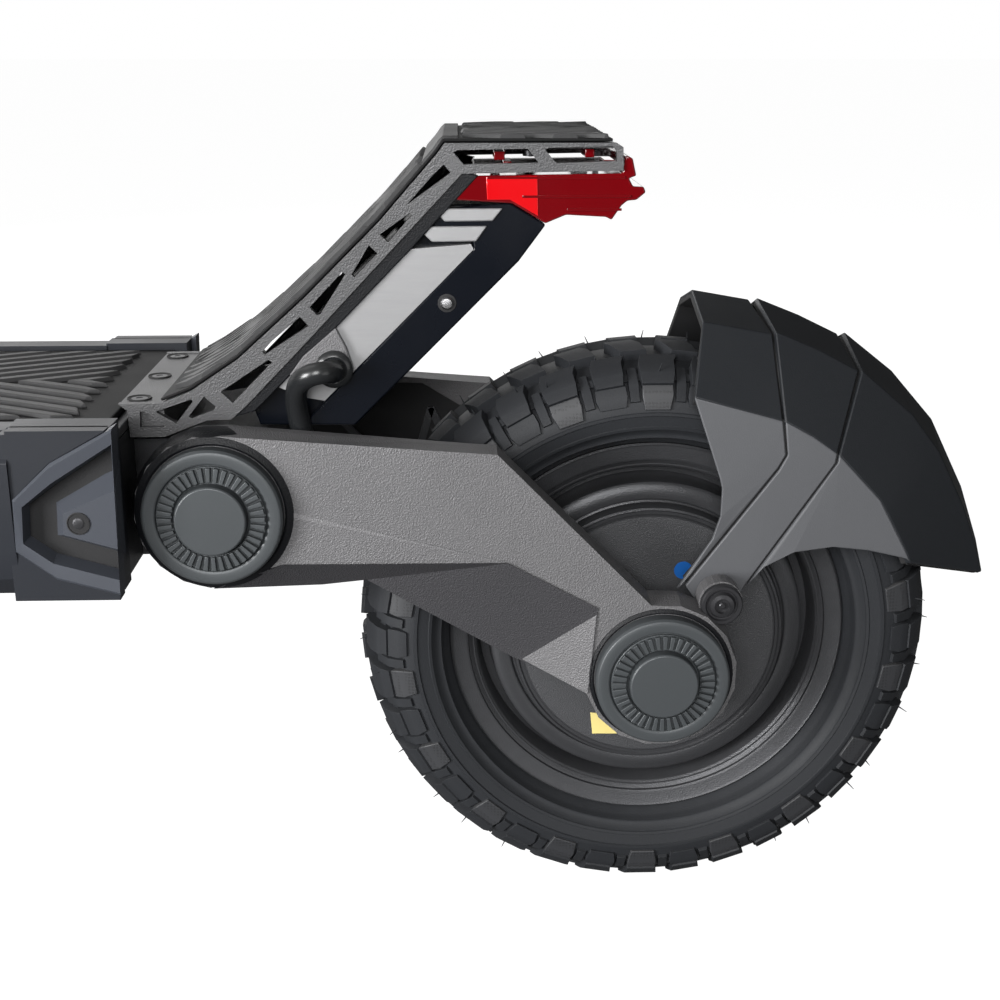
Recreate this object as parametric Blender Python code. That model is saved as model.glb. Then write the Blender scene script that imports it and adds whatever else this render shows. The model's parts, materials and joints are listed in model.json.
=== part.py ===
"""Electric kick scooter with sprung swing arms at both wheels, a folding stem and a raised tail footrest.

Metres, +Z up, +X forward, +Y to the rider's left. The origin is on the ground under the middle of the
object's box. The scooter stands upright on both tyres, with its kickstand down and its stem locked upright.
"""

import math
from dataclasses import dataclass

import bmesh
import bpy
from mathutils import Matrix, Vector

# Driving dimensions
WHEELBASE = 1.000
WHEEL_RADIUS = 0.1334
TYRE_HALF_WIDTH = 0.0365
RIM_RADIUS = 0.0910
RIM_HALF_WIDTH = 0.0249
DECK_HALF_WIDTH = 0.0970
TRAY_HALF_WIDTH = 0.0750
DECK_FRONT = 0.7380
BAR_HALF_WIDTH = 0.3200
BAR_HEIGHT = 1.2150
RAKE = math.radians(15.0)
TRAIL = 0.0350

# Fender, as heights of its ridge over the tread at its front and its tail, and where its ridge ends
RIDGE_RISE = 0.0220
RIDGE_FLARE = 0.0090
FENDER_END = 173.3

# Overhang past each axle, which puts the origin under the middle of the box
REAR_OVERHANG = (WHEEL_RADIUS + RIDGE_RISE + RIDGE_FLARE) * -math.cos(math.radians(FENDER_END))
FRONT_OVERHANG = WHEEL_RADIUS
REAR_AXLE_X = (REAR_OVERHANG - WHEELBASE - FRONT_OVERHANG) / 2
FRONT_AXLE_X = REAR_AXLE_X + WHEELBASE

# Clearances
GAP = 0.0003
BORE_GAP = 0.0004

# Heights above an axle
DECK_TOP = 0.1174
MAT_TOP = 0.1140
TRAY_TOP = 0.1064
TRAY_BOTTOM = 0.0480
WALL = 0.0040

# Swing arm, measured from its axle towards the deck
PIVOT_X = 0.1870
PIVOT_Z = 0.0756
BOSS_RADIUS = 0.0342
ARM_INNER_Y = 0.0570
ARM_OUTER_Y = 0.0720
SHAFT_RADIUS = 0.0100
AXLE_RADIUS = 0.0080
CAP_RADIUS = 0.02875
CAP_OUTER_Y = 0.0793
EAR_X, EAR_Z, EAR_RADIUS = -0.0254, 0.0314, 0.0095
SIDE_BAND_Y = 0.0530
DISC_Y = 0.0411

# Steering head, measured along the steering axis from the ground
CROWN_BOTTOM = WHEEL_RADIUS + 0.2116
CROWN_TOP = CROWN_BOTTOM + 0.0340
HEAD_TOP = CROWN_TOP + 0.1110
HINGE_HEIGHT = HEAD_TOP + 0.0550
STEM_RADIUS = 0.0220
BAR_RADIUS = 0.0155
GRIP_BAR_RADIUS = 0.0111
BLOCK_HALF = STEM_RADIUS + 0.0020
HINGE_BACK = BLOCK_HALF + 0.0100
BAR_CLAMP_RADIUS = STEM_RADIUS + 0.0030
LATCH_FRONT = BLOCK_HALF + GAP
LATCH_LOW = HINGE_HEIGHT + 0.0080

CYLINDER_STEPS = 20
WHEEL_STEPS = 32

STEERING = Matrix.Translation((FRONT_AXLE_X + TRAIL, 0, 0)) @ Matrix.Rotation(-RAKE, 4, "Y")


@dataclass(frozen=True)
class End:
    """One end of the scooter. inward is the direction along X from its axle to the deck."""

    name: str
    axle_x: float
    inward: int

    def x(self, distance):
        return self.axle_x + self.inward * distance

    def outline(self, points):
        return [(self.x(x), WHEEL_RADIUS + z) for x, z in points]


REAR = End("rear", REAR_AXLE_X, 1)
FRONT = End("front", FRONT_AXLE_X, -1)
SIDES = {"left": 1, "right": -1}


def height(z):
    """Height above the ground of a point given from the axle."""
    return WHEEL_RADIUS + z


# ---------------------------------------------------------------- materials


def material(name, colour, roughness, metallic=0.0, alpha=1.0):
    made = bpy.data.materials.new(name)
    made.use_nodes = True
    shader = made.node_tree.nodes["Principled BSDF"]
    shader.inputs["Base Color"].default_value = (*colour, 1.0)
    shader.inputs["Roughness"].default_value = roughness
    shader.inputs["Metallic"].default_value = metallic
    shader.inputs["Alpha"].default_value = alpha
    return made


FINISHES = {
    "cast": ((0.115, 0.112, 0.108), 0.45, 0.6),
    "cap": ((0.095, 0.100, 0.095), 0.5, 0.2),
    "cover": ((0.075, 0.082, 0.095), 0.4, 0.1),
    "black": ((0.010, 0.012, 0.016), 0.3, 0.0),
    "silver": ((0.40, 0.40, 0.40), 0.35, 0.8),
    "rubber": ((0.020, 0.020, 0.021), 0.8, 0.0),
    "fender": ((0.055, 0.057, 0.060), 0.5, 0.0),
    "lens": ((0.60, 0.010, 0.015), 0.1, 0.0),
    "steel": ((0.45, 0.45, 0.46), 0.3, 1.0),
    "copper": ((0.50, 0.22, 0.10), 0.4, 0.9),
    "pack": ((0.03, 0.10, 0.25), 0.6, 0.0),
    "glass": ((0.02, 0.02, 0.025), 0.05, 0.0),
}


# ---------------------------------------------------------------- shapes


def closed(bm):
    bm.normal_update()
    bmesh.ops.recalc_face_normals(bm, faces=bm.faces)
    return bm


def arc(centre, radius, start, end, steps):
    """Points on a circle from one angle to another, in degrees, both ends included."""
    turns = [math.radians(start + (end - start) * i / steps) for i in range(steps + 1)]
    return [(centre[0] + radius * math.cos(t), centre[1] + radius * math.sin(t)) for t in turns]


def loft(rings):
    """A solid skinned over rings of equally many points, with both ends closed."""
    bm = bmesh.new()
    loops = [[bm.verts.new(point) for point in ring] for ring in rings]
    count = len(loops[0])
    for lower, upper in zip(loops, loops[1:]):
        for i in range(count):
            j = (i + 1) % count
            bm.faces.new((lower[i], lower[j], upper[j], upper[i]))
    bm.faces.new(loops[0])
    bm.faces.new(loops[-1])
    return closed(bm)


def prism(outline, low, high):
    """An (x, z) outline extruded along Y."""
    return loft([[(x, y, z) for x, z in outline] for y in (low, high)])


def beam(section, start, end):
    """A (y, z) section extruded along X."""
    return loft([[(x, y, z) for y, z in section] for x in (start, end)])


def slab(outline, low, high):
    """An (x, y) outline extruded along Z."""
    return loft([[(x, y, z) for x, y in outline] for z in (low, high)])


def box(low, high):
    (x0, y0, z0), (x1, y1, z1) = low, high
    return slab([(x0, y0), (x1, y0), (x1, y1), (x0, y1)], z0, z1)


def ring_points(radius, steps, height_along, phase=0.0):
    turns = [2 * math.pi * (i + phase) / steps for i in range(steps)]
    return [(radius * math.cos(t), radius * math.sin(t), height_along) for t in turns]


def turned(profile, steps=CYLINDER_STEPS):
    """A (radius, z) profile turned about Z. It starts and ends on the axis, or closes on itself as a ring."""
    bm = bmesh.new()
    rings = []
    for radius, z in profile:
        if radius == 0:
            rings.append([bm.verts.new((0, 0, z))])
        else:
            rings.append([bm.verts.new(point) for point in ring_points(radius, steps, z)])
    on_axis = profile[0][0] == 0
    pairs = zip(rings, rings[1:] if on_axis else rings[1:] + rings[:1])
    for lower, upper in pairs:
        for i in range(steps):
            j = (i + 1) % steps
            corners = [lower[i % len(lower)], lower[j % len(lower)],
                       upper[j % len(upper)], upper[i % len(upper)]]
            bm.faces.new(list(dict.fromkeys(corners)))
    return closed(bm)


def across(bm, x, z, side=1):
    """Turns a shape made about Z to lie along Y, with its top towards the given side."""
    bm.transform(Matrix.Translation((x, 0, z)) @ Matrix.Rotation(-side * math.pi / 2, 4, "X"))
    return closed(bm)


def rod(radius, low, high, steps=CYLINDER_STEPS):
    return turned([(0, low), (radius, low), (radius, high), (0, high)], steps)


def between(start, end, radius, steps=CYLINDER_STEPS):
    """A round bar from one point to another."""
    start, end = Vector(start), Vector(end)
    bm = rod(radius, 0, (end - start).length, steps)
    turn = (end - start).to_track_quat("Z", "Y").to_matrix().to_4x4()
    bm.transform(Matrix.Translation(start) @ turn)
    return bm


def pierced(outline, holes, low, high):
    """An (x, z) plate with holes, extruded along Y."""
    bm = bmesh.new()
    front, back, rims = [], [], []
    for loop in [outline, *holes]:
        near = [bm.verts.new((x, low, z)) for x, z in loop]
        far = [bm.verts.new((x, high, z)) for x, z in loop]
        count = len(loop)
        for i in range(count):
            j = (i + 1) % count
            rims.append((near[i], near[j], far[j], far[i]))
        front += [bm.edges.new((near[i], near[(i + 1) % count])) for i in range(count)]
        back += zip(near, far)
    bmesh.ops.triangle_fill(bm, edges=front, use_beauty=True)
    opposite = dict(back)
    for face in list(bm.faces):
        bm.faces.new([opposite[vert] for vert in reversed(face.verts)])
    for corners in rims:
        bm.faces.new(corners)
    return closed(bm)


def helper(bm):
    mesh = bpy.data.meshes.new("helper")
    bm.to_mesh(mesh)
    bm.free()
    made = bpy.data.objects.new("helper", mesh)
    bpy.context.collection.objects.link(made)
    made.hide_render = True
    made.display_type = "WIRE"
    return made


def combined(first, others, operation):
    """The Boolean union or difference of shapes, as one mesh."""
    base = helper(first)
    tools = [helper(bm) for bm in others]
    for tool in tools:
        step = base.modifiers.new("join", "BOOLEAN")
        step.operation = operation
        step.solver = "EXACT"
        step.object = tool
    bpy.context.view_layer.update()
    result = bmesh.new()
    result.from_object(base, bpy.context.evaluated_depsgraph_get())
    for used in [base, *tools]:
        bpy.data.objects.remove(used)
    return result


def joined(first, *others):
    return combined(first, others, "UNION")


def cut(first, *others):
    return combined(first, others, "DIFFERENCE")


# ---------------------------------------------------------------- nodes


def joint(name, position, parent=None, turn=Matrix()):
    """An empty on a joint's axis. Its children have their origins there."""
    made = bpy.data.objects.new(name, None)
    bpy.context.collection.objects.link(made)
    made.empty_display_size = 0.05
    made.parent = parent
    made.matrix_world = Matrix.Translation(position) @ turn
    bpy.context.view_layer.update()
    return made


def node(name, bm, finish, parent, smooth=True):
    """A named object built in world space and held by an empty."""
    bm.transform(parent.matrix_world.inverted())
    mesh = bpy.data.meshes.new(name)
    bm.to_mesh(mesh)
    bm.free()
    if smooth:
        mesh.shade_smooth()
        mesh.set_sharp_from_angle(angle=math.radians(35))
    mesh.materials.append(material(name, *FINISHES[finish]))
    made = bpy.data.objects.new(name, mesh)
    bpy.context.collection.objects.link(made)
    made.parent = parent
    return made


# ---------------------------------------------------------------- deck


def build_deck(chassis):
    inner = TRAY_HALF_WIDTH - GAP
    rear = REAR.x(0.2240)
    front = REAR.x(DECK_FRONT)
    low, high = height(TRAY_BOTTOM), height(TRAY_TOP)
    outer = box((rear, -inner, low), (front, inner, high))
    hollow = box((rear + WALL, WALL - inner, low + WALL), (front - WALL, inner - WALL, high + WALL))
    pivot = across(rod(0.0260, -0.0440, 0.0440), REAR.x(PIVOT_X), height(PIVOT_Z))
    block = prism(REAR.outline([(0.2300, 0.0480), (0.2300, 0.1000), (0.1950, 0.1000), (0.1750, 0.0980),
                                (0.1650, 0.0850), (0.1650, 0.0620), (0.1870, 0.0480)]), -0.0440, 0.0440)
    bore = across(rod(SHAFT_RADIUS + BORE_GAP, -0.1, 0.1), REAR.x(PIVOT_X), height(PIVOT_Z))
    node("deck_frame", cut(joined(cut(outer, hollow), block, pivot), bore), "cast", chassis)

    lid_end = REAR.x(0.6560)
    lid_top = MAT_TOP - 0.0030 - GAP
    lid = box((REAR.x(0.2240), -inner, height(TRAY_TOP + GAP)), (lid_end, inner, height(lid_top)))
    node("deck_lid", lid, "cast", chassis)
    mat_half = inner - 0.001
    mat = box((REAR.x(0.2280), -mat_half, height(lid_top + GAP)), (lid_end, mat_half, height(MAT_TOP)))
    node("deck_mat", mat, "rubber", chassis)

    battery = box((REAR.x(0.2500), -0.066, low + WALL + GAP), (REAR.x(0.5600), 0.066, height(0.1000)))
    node("battery_pack", battery, "pack", chassis)
    controller = box((REAR.x(0.5750), -0.045, low + WALL + GAP), (REAR.x(0.6950), 0.045, height(0.0900)))
    node("controller", controller, "silver", chassis)

    shoulder, waist = DECK_HALF_WIDTH - 0.008, DECK_HALF_WIDTH - 0.011
    section = [(TRAY_HALF_WIDTH, DECK_TOP), (shoulder, DECK_TOP), (DECK_HALF_WIDTH, 0.1045),
               (DECK_HALF_WIDTH, 0.0620), (waist, 0.0470), (TRAY_HALF_WIDTH, 0.0470)]
    end_section = [(TRAY_HALF_WIDTH, 0.1150), (shoulder - 0.004, 0.1150), (DECK_HALF_WIDTH - 0.006, 0.1010),
                   (DECK_HALF_WIDTH - 0.006, 0.0650), (waist - 0.004, 0.0500), (TRAY_HALF_WIDTH, 0.0500)]
    stations = [(0.2225, end_section), (0.2270, section),
                (DECK_FRONT - 0.012, section), (DECK_FRONT, end_section)]
    for side, sign in SIDES.items():
        rings = [[(REAR.x(x), sign * y, height(z)) for y, z in ring] for x, ring in stations]
        node(f"side_cover_{side}", loft(rings), "cover", chassis, smooth=False)


# ---------------------------------------------------------------- tail footrest

TAIL_UPPER = [(0.2273, 0.1174), (0.2095, 0.1176), (0.1970, 0.1225), (0.1770, 0.1357), (0.1484, 0.1611),
              (0.1175, 0.1914), (0.0936, 0.2182), (0.0908, 0.2221), (0.0227, 0.2221)]
TAIL_LOWER = [(0.0200, 0.2204), (0.0197, 0.2113), (0.0840, 0.2103), (0.1484, 0.1428), (0.1742, 0.1164),
              (0.1809, 0.1105), (0.1909, 0.1102), (0.2091, 0.1032), (0.2233, 0.1032), (0.2236, 0.1145)]
TAIL_WINDOWS = [
    [(0.2185, 0.1140), (0.2169, 0.1142), (0.2086, 0.1089), (0.2088, 0.1074), (0.2188, 0.1074)],
    [(0.2120, 0.1140), (0.1969, 0.1192), (0.1963, 0.1182), (0.2038, 0.1090)],
    [(0.1916, 0.1204), (0.1870, 0.1161), (0.1879, 0.1146), (0.1972, 0.1110), (0.1984, 0.1120)],
    [(0.1846, 0.1223), (0.1643, 0.1357), (0.1627, 0.1346), (0.1798, 0.1175)],
    [(0.1666, 0.1390), (0.1655, 0.1378), (0.1472, 0.1496), (0.1505, 0.1534), (0.1623, 0.1436)],
    [(0.1465, 0.1573), (0.1436, 0.1541), (0.1420, 0.1546), (0.1315, 0.1706), (0.1328, 0.1716)],
    [(0.1290, 0.1705), (0.1278, 0.1694), (0.1183, 0.1789), (0.1217, 0.1823)],
    [(0.1173, 0.1865), (0.1139, 0.1834), (0.1042, 0.1941), (0.1049, 0.1951)],
    [(0.1064, 0.1980), (0.0885, 0.2106), (0.0912, 0.2139), (0.0954, 0.2100)],
    [(0.0874, 0.2185), (0.0858, 0.2194), (0.0579, 0.2199), (0.0537, 0.2145), (0.0833, 0.2138)],
    [(0.0511, 0.2195), (0.0495, 0.2202), (0.0241, 0.2208), (0.0226, 0.2188), (0.0225, 0.2150),
     (0.0465, 0.2143)],
]
TAIL_HOUSING = [(0.1700, 0.1062), (0.1735, 0.1165), (0.0950, 0.1990), (0.0895, 0.1975), (0.0655, 0.1975),
                (0.0504, 0.1888), (0.0610, 0.1745), (0.1298, 0.1058)]
SIDE_PANEL = [(0.1049, 0.1803), (0.0805, 0.1822), (0.0795, 0.1801), (0.0934, 0.1660), (0.1420, 0.1175),
              (0.1500, 0.1190), (0.1610, 0.1235)]
TAIL_LENS = [(0.0880, 0.2000), (0.0790, 0.2094), (0.0190, 0.2103), (0.0104, 0.2035), (0.0140, 0.1985),
             (0.0177, 0.1965), (0.0239, 0.1918), (0.0423, 0.1939), (0.0506, 0.1905), (0.0640, 0.1985)]
GLAND_X, GLAND_Z = 0.1374, 0.1317


def offset_path(path, distance):
    """An open path moved sideways, to its right for a positive distance, with its corners mitred."""
    legs = [(Vector(after) - Vector(before)).normalized() for before, after in zip(path, path[1:])]
    normals = [Vector((leg.y, -leg.x)) for leg in legs]
    moved = []
    for point, before, after in zip(path, normals[:1] + normals, normals + normals[-1:]):
        shift = (before + after) * distance / (1 + before.dot(after))
        moved.append((point[0] + shift.x, point[1] + shift.y))
    return moved


def build_tail(chassis):
    outline = REAR.outline(TAIL_UPPER + TAIL_LOWER)
    windows = [REAR.outline(window) for window in TAIL_WINDOWS]
    inner_face = SIDE_BAND_Y - 0.0035
    plates = [pierced(outline, windows, sign * inner_face, sign * SIDE_BAND_Y) for sign in (1, -1)]
    ramp = TAIL_UPPER[1:]
    skin = REAR.outline(offset_path(ramp, -0.0003) + offset_path(ramp, -0.0022)[::-1])
    strip = [(0.2270, 0.1171), (0.2090, 0.1171), (0.2090, 0.1035), (0.2230, 0.1035), (0.2233, 0.1148),
             (0.2270, 0.1156)]
    half = SIDE_BAND_Y - 0.0030
    frame = joined(prism(skin, -half, half), prism(REAR.outline(strip), -half, half), *plates)
    node("tail_frame", frame, "cast", chassis, smooth=False)

    path = TAIL_UPPER[1:-1] + [(0.0240, 0.2221)]
    mat = REAR.outline(offset_path(path, 0.0024) + offset_path(path, GAP)[::-1])
    node("tail_mat", prism(mat, -SIDE_BAND_Y + 0.002, SIDE_BAND_Y - 0.002), "rubber", chassis)

    node("tail_housing", prism(REAR.outline(TAIL_HOUSING), -0.0455, 0.0455), "black", chassis, smooth=False)
    for side, sign in SIDES.items():
        panel = prism(REAR.outline(SIDE_PANEL), sign * 0.0458, sign * 0.0503)
        node(f"tail_panel_{side}", panel, "silver", chassis, smooth=False)
    lens = prism(REAR.outline(TAIL_LENS), -SIDE_BAND_Y, SIDE_BAND_Y)
    node("tail_lens", lens, "lens", chassis, smooth=False)

    gland_profile = [(0, 0.0506), (0.0080, 0.0506), (0.0080, 0.0535), (0.0065, 0.0570), (0, 0.0570)]
    gland = across(turned(gland_profile, 20), REAR.x(GLAND_X), height(GLAND_Z))
    node("cable_gland", gland, "rubber", chassis)


CABLE_RADIUS = 0.0046
CABLE_ROUTE = [
    (0.1374, 0.0575, 0.1317), (0.1375, 0.0620, 0.1318), (0.1410, 0.0660, 0.1332), (0.1465, 0.0652, 0.1318),
    (0.1512, 0.0608, 0.1275), (0.1530, 0.0560, 0.1200), (0.1530, 0.0525, 0.1120), (0.1515, 0.0508, 0.1030),
    (0.1480, 0.0500, 0.0930),
    (0.1400, 0.0498, 0.0835), (0.1200, 0.0496, 0.0745), (0.0950, 0.0495, 0.0650), (0.0700, 0.0495, 0.0530),
    (0.0450, 0.0495, 0.0340), (0.0170, 0.0495, 0.0080),
]


def smooth_route(points, spacing):
    """Points read from a smooth curve through the given ones."""
    points = [Vector(point) for point in points]
    padded = [2 * points[0] - points[1], *points, 2 * points[-1] - points[-2]]
    route = [points[0]]
    for a, b, c, d in zip(padded, padded[1:], padded[2:], padded[3:]):
        steps = max(1, round((c - b).length / spacing))
        for step in range(1, steps + 1):
            t = step / steps
            route.append(0.5 * (2 * b + (c - a) * t + (2 * a - 5 * b + 4 * c - d) * t**2
                                + (3 * b - a - 3 * c + d) * t**3))
    return route


def build_motor_cable(chassis):
    curve = bpy.data.curves.new("motor_cable", "CURVE")
    curve.dimensions = "3D"
    curve.bevel_depth = CABLE_RADIUS
    curve.bevel_resolution = 3
    curve.use_fill_caps = True
    route = smooth_route([(REAR.x(x), y, height(z)) for x, y, z in CABLE_ROUTE], 2.2 * CABLE_RADIUS)
    spline = curve.splines.new("POLY")
    spline.points.add(len(route) - 1)
    for point, place in zip(spline.points, route):
        point.co = (*place, 1)
    curve.materials.append(material("motor_cable", *FINISHES["rubber"]))
    made = bpy.data.objects.new("motor_cable", curve)
    bpy.context.collection.objects.link(made)
    made.parent = chassis


# ---------------------------------------------------------------- swing arms, wheels and fenders


def arm_outline(radius, underside):
    """One turn round the arm: pivot boss, underside, axle boss, sloping top."""
    pivot = arc((PIVOT_X, PIVOT_Z), radius, 98, -84, 9)
    axle = arc((0, 0), radius, -14, -279, 12)
    return pivot + underside + axle + [(0.0705, 0.0997), (0.0817, 0.1005)]


def build_arm(end, side, sign, parent):
    inner = arm_outline(BOSS_RADIUS, [(0.1450, 0.0410), (0.1260, 0.0430), (0.0640, 0.0065)])
    outer = arm_outline(BOSS_RADIUS - 0.0012, [(0.1600, 0.0530), (0.0663, 0.0527), (0.0280, 0.0320)])
    layers = [(inner, ARM_INNER_Y), (inner, ARM_INNER_Y + 0.0045), (outer, ARM_OUTER_Y)]
    body = loft([[(x, sign * y, z) for x, z in end.outline(outline)] for outline, y in layers])
    ear = across(rod(EAR_RADIUS, ARM_INNER_Y, 0.0660, 20), end.x(EAR_X), height(EAR_Z), sign)
    shaft_hole = across(rod(SHAFT_RADIUS + BORE_GAP, -0.1, 0.1), end.x(PIVOT_X), height(PIVOT_Z))
    axle_hole = across(rod(AXLE_RADIUS + BORE_GAP, -0.1, 0.1), end.x(0), height(0))
    node(f"{end.name}_arm_{side}", cut(joined(body, ear), shaft_hole, axle_hole), "cast", parent)
    profile = [(0, ARM_OUTER_Y + GAP), (CAP_RADIUS, ARM_OUTER_Y + GAP), (CAP_RADIUS, CAP_OUTER_Y),
               (0.0220, CAP_OUTER_Y), (0.0220, 0.0812), (0.0143, 0.0812), (0.0143, 0.0843), (0, 0.0843)]
    for place, x, z in (("pivot", PIVOT_X, PIVOT_Z), ("axle", 0, 0)):
        cap = across(turned(profile), end.x(x), height(z), sign)
        node(f"{end.name}_{place}_cap_{side}", cap, "cap", parent)


def build_shafts(end, parent):
    reach = ARM_OUTER_Y - 0.0004
    shaft = across(rod(SHAFT_RADIUS, -reach, reach), end.x(PIVOT_X), height(PIVOT_Z))
    node(f"{end.name}_pivot_shaft", shaft, "steel", parent)
    collar = 0.0120
    profile = [(0, -reach), (AXLE_RADIUS, -reach), (AXLE_RADIUS, -0.0555), (collar, -0.0555),
               (collar, -0.0450), (AXLE_RADIUS, -0.0450), (AXLE_RADIUS, 0.0450), (collar, 0.0450), (collar, 0.0555),
               (AXLE_RADIUS, 0.0555), (AXLE_RADIUS, reach), (0, reach)]
    node(f"{end.name}_axle", across(turned(profile), end.x(0), height(0)), "steel", parent)


def rim_shell():
    """The outside of a rim from its left flange to its right one, as (radius, y)."""
    flange = RIM_HALF_WIDTH
    half = [(0.0670, 0.0150), (0.0772, 0.0140), (0.0786, 0.0160), (0.0788, flange - 0.0027),
            (RIM_RADIUS - 0.0081, flange - 0.0021),
            (RIM_RADIUS - 0.0012, flange), (RIM_RADIUS, flange - 0.0012), (RIM_RADIUS, flange - 0.0033),
            (0.0802, flange - 0.0036), (0.0798, 0.0125), (0.0765, 0.0105)]
    return half + [(radius, -y) for radius, y in reversed(half)]


def build_motor_wheel(end, wheel, arm):
    """Wheel with a hub motor. The left cover is one with the rim and the right one closes the motor."""
    bore = AXLE_RADIUS + BORE_GAP
    cover = [(bore, 0.0284), (0.0600, 0.0284), (0.0620, 0.0272), (0.0660, 0.0235)]
    cavity = [(0.0660, -0.0235), (0.0585, -0.0235), (0.0585, 0.0235), (bore, 0.0235)]
    rim = turned(cover + rim_shell() + cavity, WHEEL_STEPS)
    node(f"{end.name}_rim", across(rim, end.x(0), height(0)), "cast", wheel)
    right = [(bore, -0.0238), (bore, -0.0284), (0.0600, -0.0284), (0.0620, -0.0272), (0.0655, -0.0238)]
    node(f"{end.name}_hub_cover", across(turned(right, WHEEL_STEPS), end.x(0), height(0)), "cast", wheel)
    stator = [(bore, -0.0180), (0.0560, -0.0180), (0.0560, 0.0180), (bore, 0.0180)]
    node(f"{end.name}_stator", across(turned(stator), end.x(0), height(0)), "copper", arm)


def build_plain_wheel(end, wheel):
    """Wheel with a thin web and a hub, for the end without a motor."""
    bore = AXLE_RADIUS + BORE_GAP
    web = 0.0060
    left = [(bore, 0.0284), (0.0230, 0.0284), (0.0255, web + 0.0020), (0.0640, web)]
    right = [(radius, -y) for radius, y in reversed(left)]
    rim = turned(left + rim_shell() + right, WHEEL_STEPS)
    node(f"{end.name}_rim", across(rim, end.x(0), height(0)), "cast", wheel)


def build_tyre(end, wheel):
    half, bead = TYRE_HALF_WIDTH, RIM_HALF_WIDTH - 0.0039
    outside = [(0.0805, bead), (RIM_RADIUS + 0.0004, bead), (RIM_RADIUS + 0.0015, RIM_HALF_WIDTH + 0.0011),
               (0.1020, half - 0.0015), (0.1130, half), (WHEEL_RADIUS - 0.0105, half - 0.0035),
               (WHEEL_RADIUS - 0.0040, half - 0.0160), (WHEEL_RADIUS, 0.0070)]
    inside = [(0.1200, half - 0.0165), (0.1050, half - 0.0080), (0.0805, bead - 0.0080)]
    profile = outside + [(r, -y) for r, y in reversed(outside)]
    profile += [(r, -y) for r, y in reversed(inside)] + inside
    node(f"{end.name}_tyre", across(turned(profile, WHEEL_STEPS), end.x(0), height(0)), "rubber", wheel)


def build_brake(end, wheel, arm):
    """Disc on the right of the hub, and the caliper that straddles it on the right arm."""
    bore, inner = AXLE_RADIUS + BORE_GAP, -0.0287
    disc = [(bore, inner), (0.0250, inner), (0.0250, -DISC_Y + 0.0011), (0.0650, -DISC_Y + 0.0011),
            (0.0650, -DISC_Y - 0.0011), (bore, -DISC_Y - 0.0011)]
    node(f"{end.name}_disc", across(turned(disc, WHEEL_STEPS), end.x(0), height(0)), "steel", wheel)
    body = box((0.0480, -ARM_INNER_Y + GAP, -0.0260), (0.0780, -0.0300, 0.0260))
    slot = box((0.0300, -DISC_Y - 0.0021, -0.0500), (0.0680, -DISC_Y + 0.0021, 0.0500))
    caliper = cut(body, slot)
    lift = math.radians(40)
    caliper.transform(Matrix.Rotation(-lift, 4, "Y"))
    if end.inward < 0:
        caliper.transform(Matrix.Scale(-1, 4, (1, 0, 0)))
    caliper.transform(Matrix.Translation((end.x(0), 0, height(0))))
    node(f"{end.name}_caliper", closed(caliper), "cast", arm, smooth=False)


def fender_section(radial, inset):
    """Half of the fender's section, as (radius, y), from its centre line to its lower crease."""
    ridge, crease = WHEEL_RADIUS + RIDGE_RISE + RIDGE_FLARE * radial, WHEEL_RADIUS + 0.0135 + 0.0065 * radial
    return [(ridge - inset, 0.0), (crease - inset, 0.0320 - 0.3 * inset),
            (0.1190 + 0.2 * inset, 0.0500 - inset)]


def build_fender(end, tail_angles, parent):
    """Creased shell over the outer side of the wheel, with a flat stay down to each ear."""
    thickness, steps = 0.0026, 8
    starts = (96.7, 97.2, 96.4)
    bm = bmesh.new()
    skins = []
    for inset in (0.0, thickness):
        rows = []
        for step in range(steps + 1):
            share = step / steps
            section = fender_section(min(1.0, 1.6 * share), inset)
            row = []
            for (radius, y), start, stop in zip(section, starts, tail_angles):
                turn = math.radians(start + (stop - start) * share)
                row.append((radius * math.cos(turn), y, radius * math.sin(turn)))
            whole = [(x, -y, z) for x, y, z in row[:0:-1]] + row
            rows.append([bm.verts.new((end.x(x), y, height(z))) for x, y, z in whole])
        skins.append(rows)
    outer, inner = skins
    last = len(outer[0]) - 1
    for step in range(steps):
        for i in range(last):
            bm.faces.new((outer[step][i], outer[step][i + 1], outer[step + 1][i + 1], outer[step + 1][i]))
            bm.faces.new((inner[step][i], inner[step][i + 1], inner[step + 1][i + 1], inner[step + 1][i]))
        for i in (0, last):
            bm.faces.new((outer[step][i], outer[step + 1][i], inner[step + 1][i], inner[step][i]))
    for step in (0, steps):
        for i in range(last):
            bm.faces.new((outer[step][i], outer[step][i + 1], inner[step][i + 1], inner[step][i]))
    closed(bm)

    foot = arc((EAR_X, EAR_Z), EAR_RADIUS, 170, 350, 8)
    spread = math.radians(tail_angles[2])
    heel = (0.1175 * math.cos(spread), 0.1175 * math.sin(spread))
    stay = foot + [(-0.0215, 0.0560), (-0.0250, 0.0830), (-0.0150, 0.1185)]
    stay += arc((0, 0), 0.1190, 105, tail_angles[2], 5)
    stay += [heel, (heel[0] * 0.86, heel[1] + 0.006), (-0.0588, 0.0495), (-0.0463, 0.0427)]
    low, high = ARM_INNER_Y - 0.0075, ARM_INNER_Y - GAP - 0.0040
    stays = [prism(end.outline(stay), sign * low, sign * high) for sign in SIDES.values()]
    node(f"{end.name}_fender", joined(bm, *stays), "fender", parent, smooth=False)


# ---------------------------------------------------------------- fork, neck and folding joint


def tilted(bm):
    """Moves a shape made about the steering axis, with Z up along it, to its place."""
    bm.transform(STEERING)
    return closed(bm)


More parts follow.
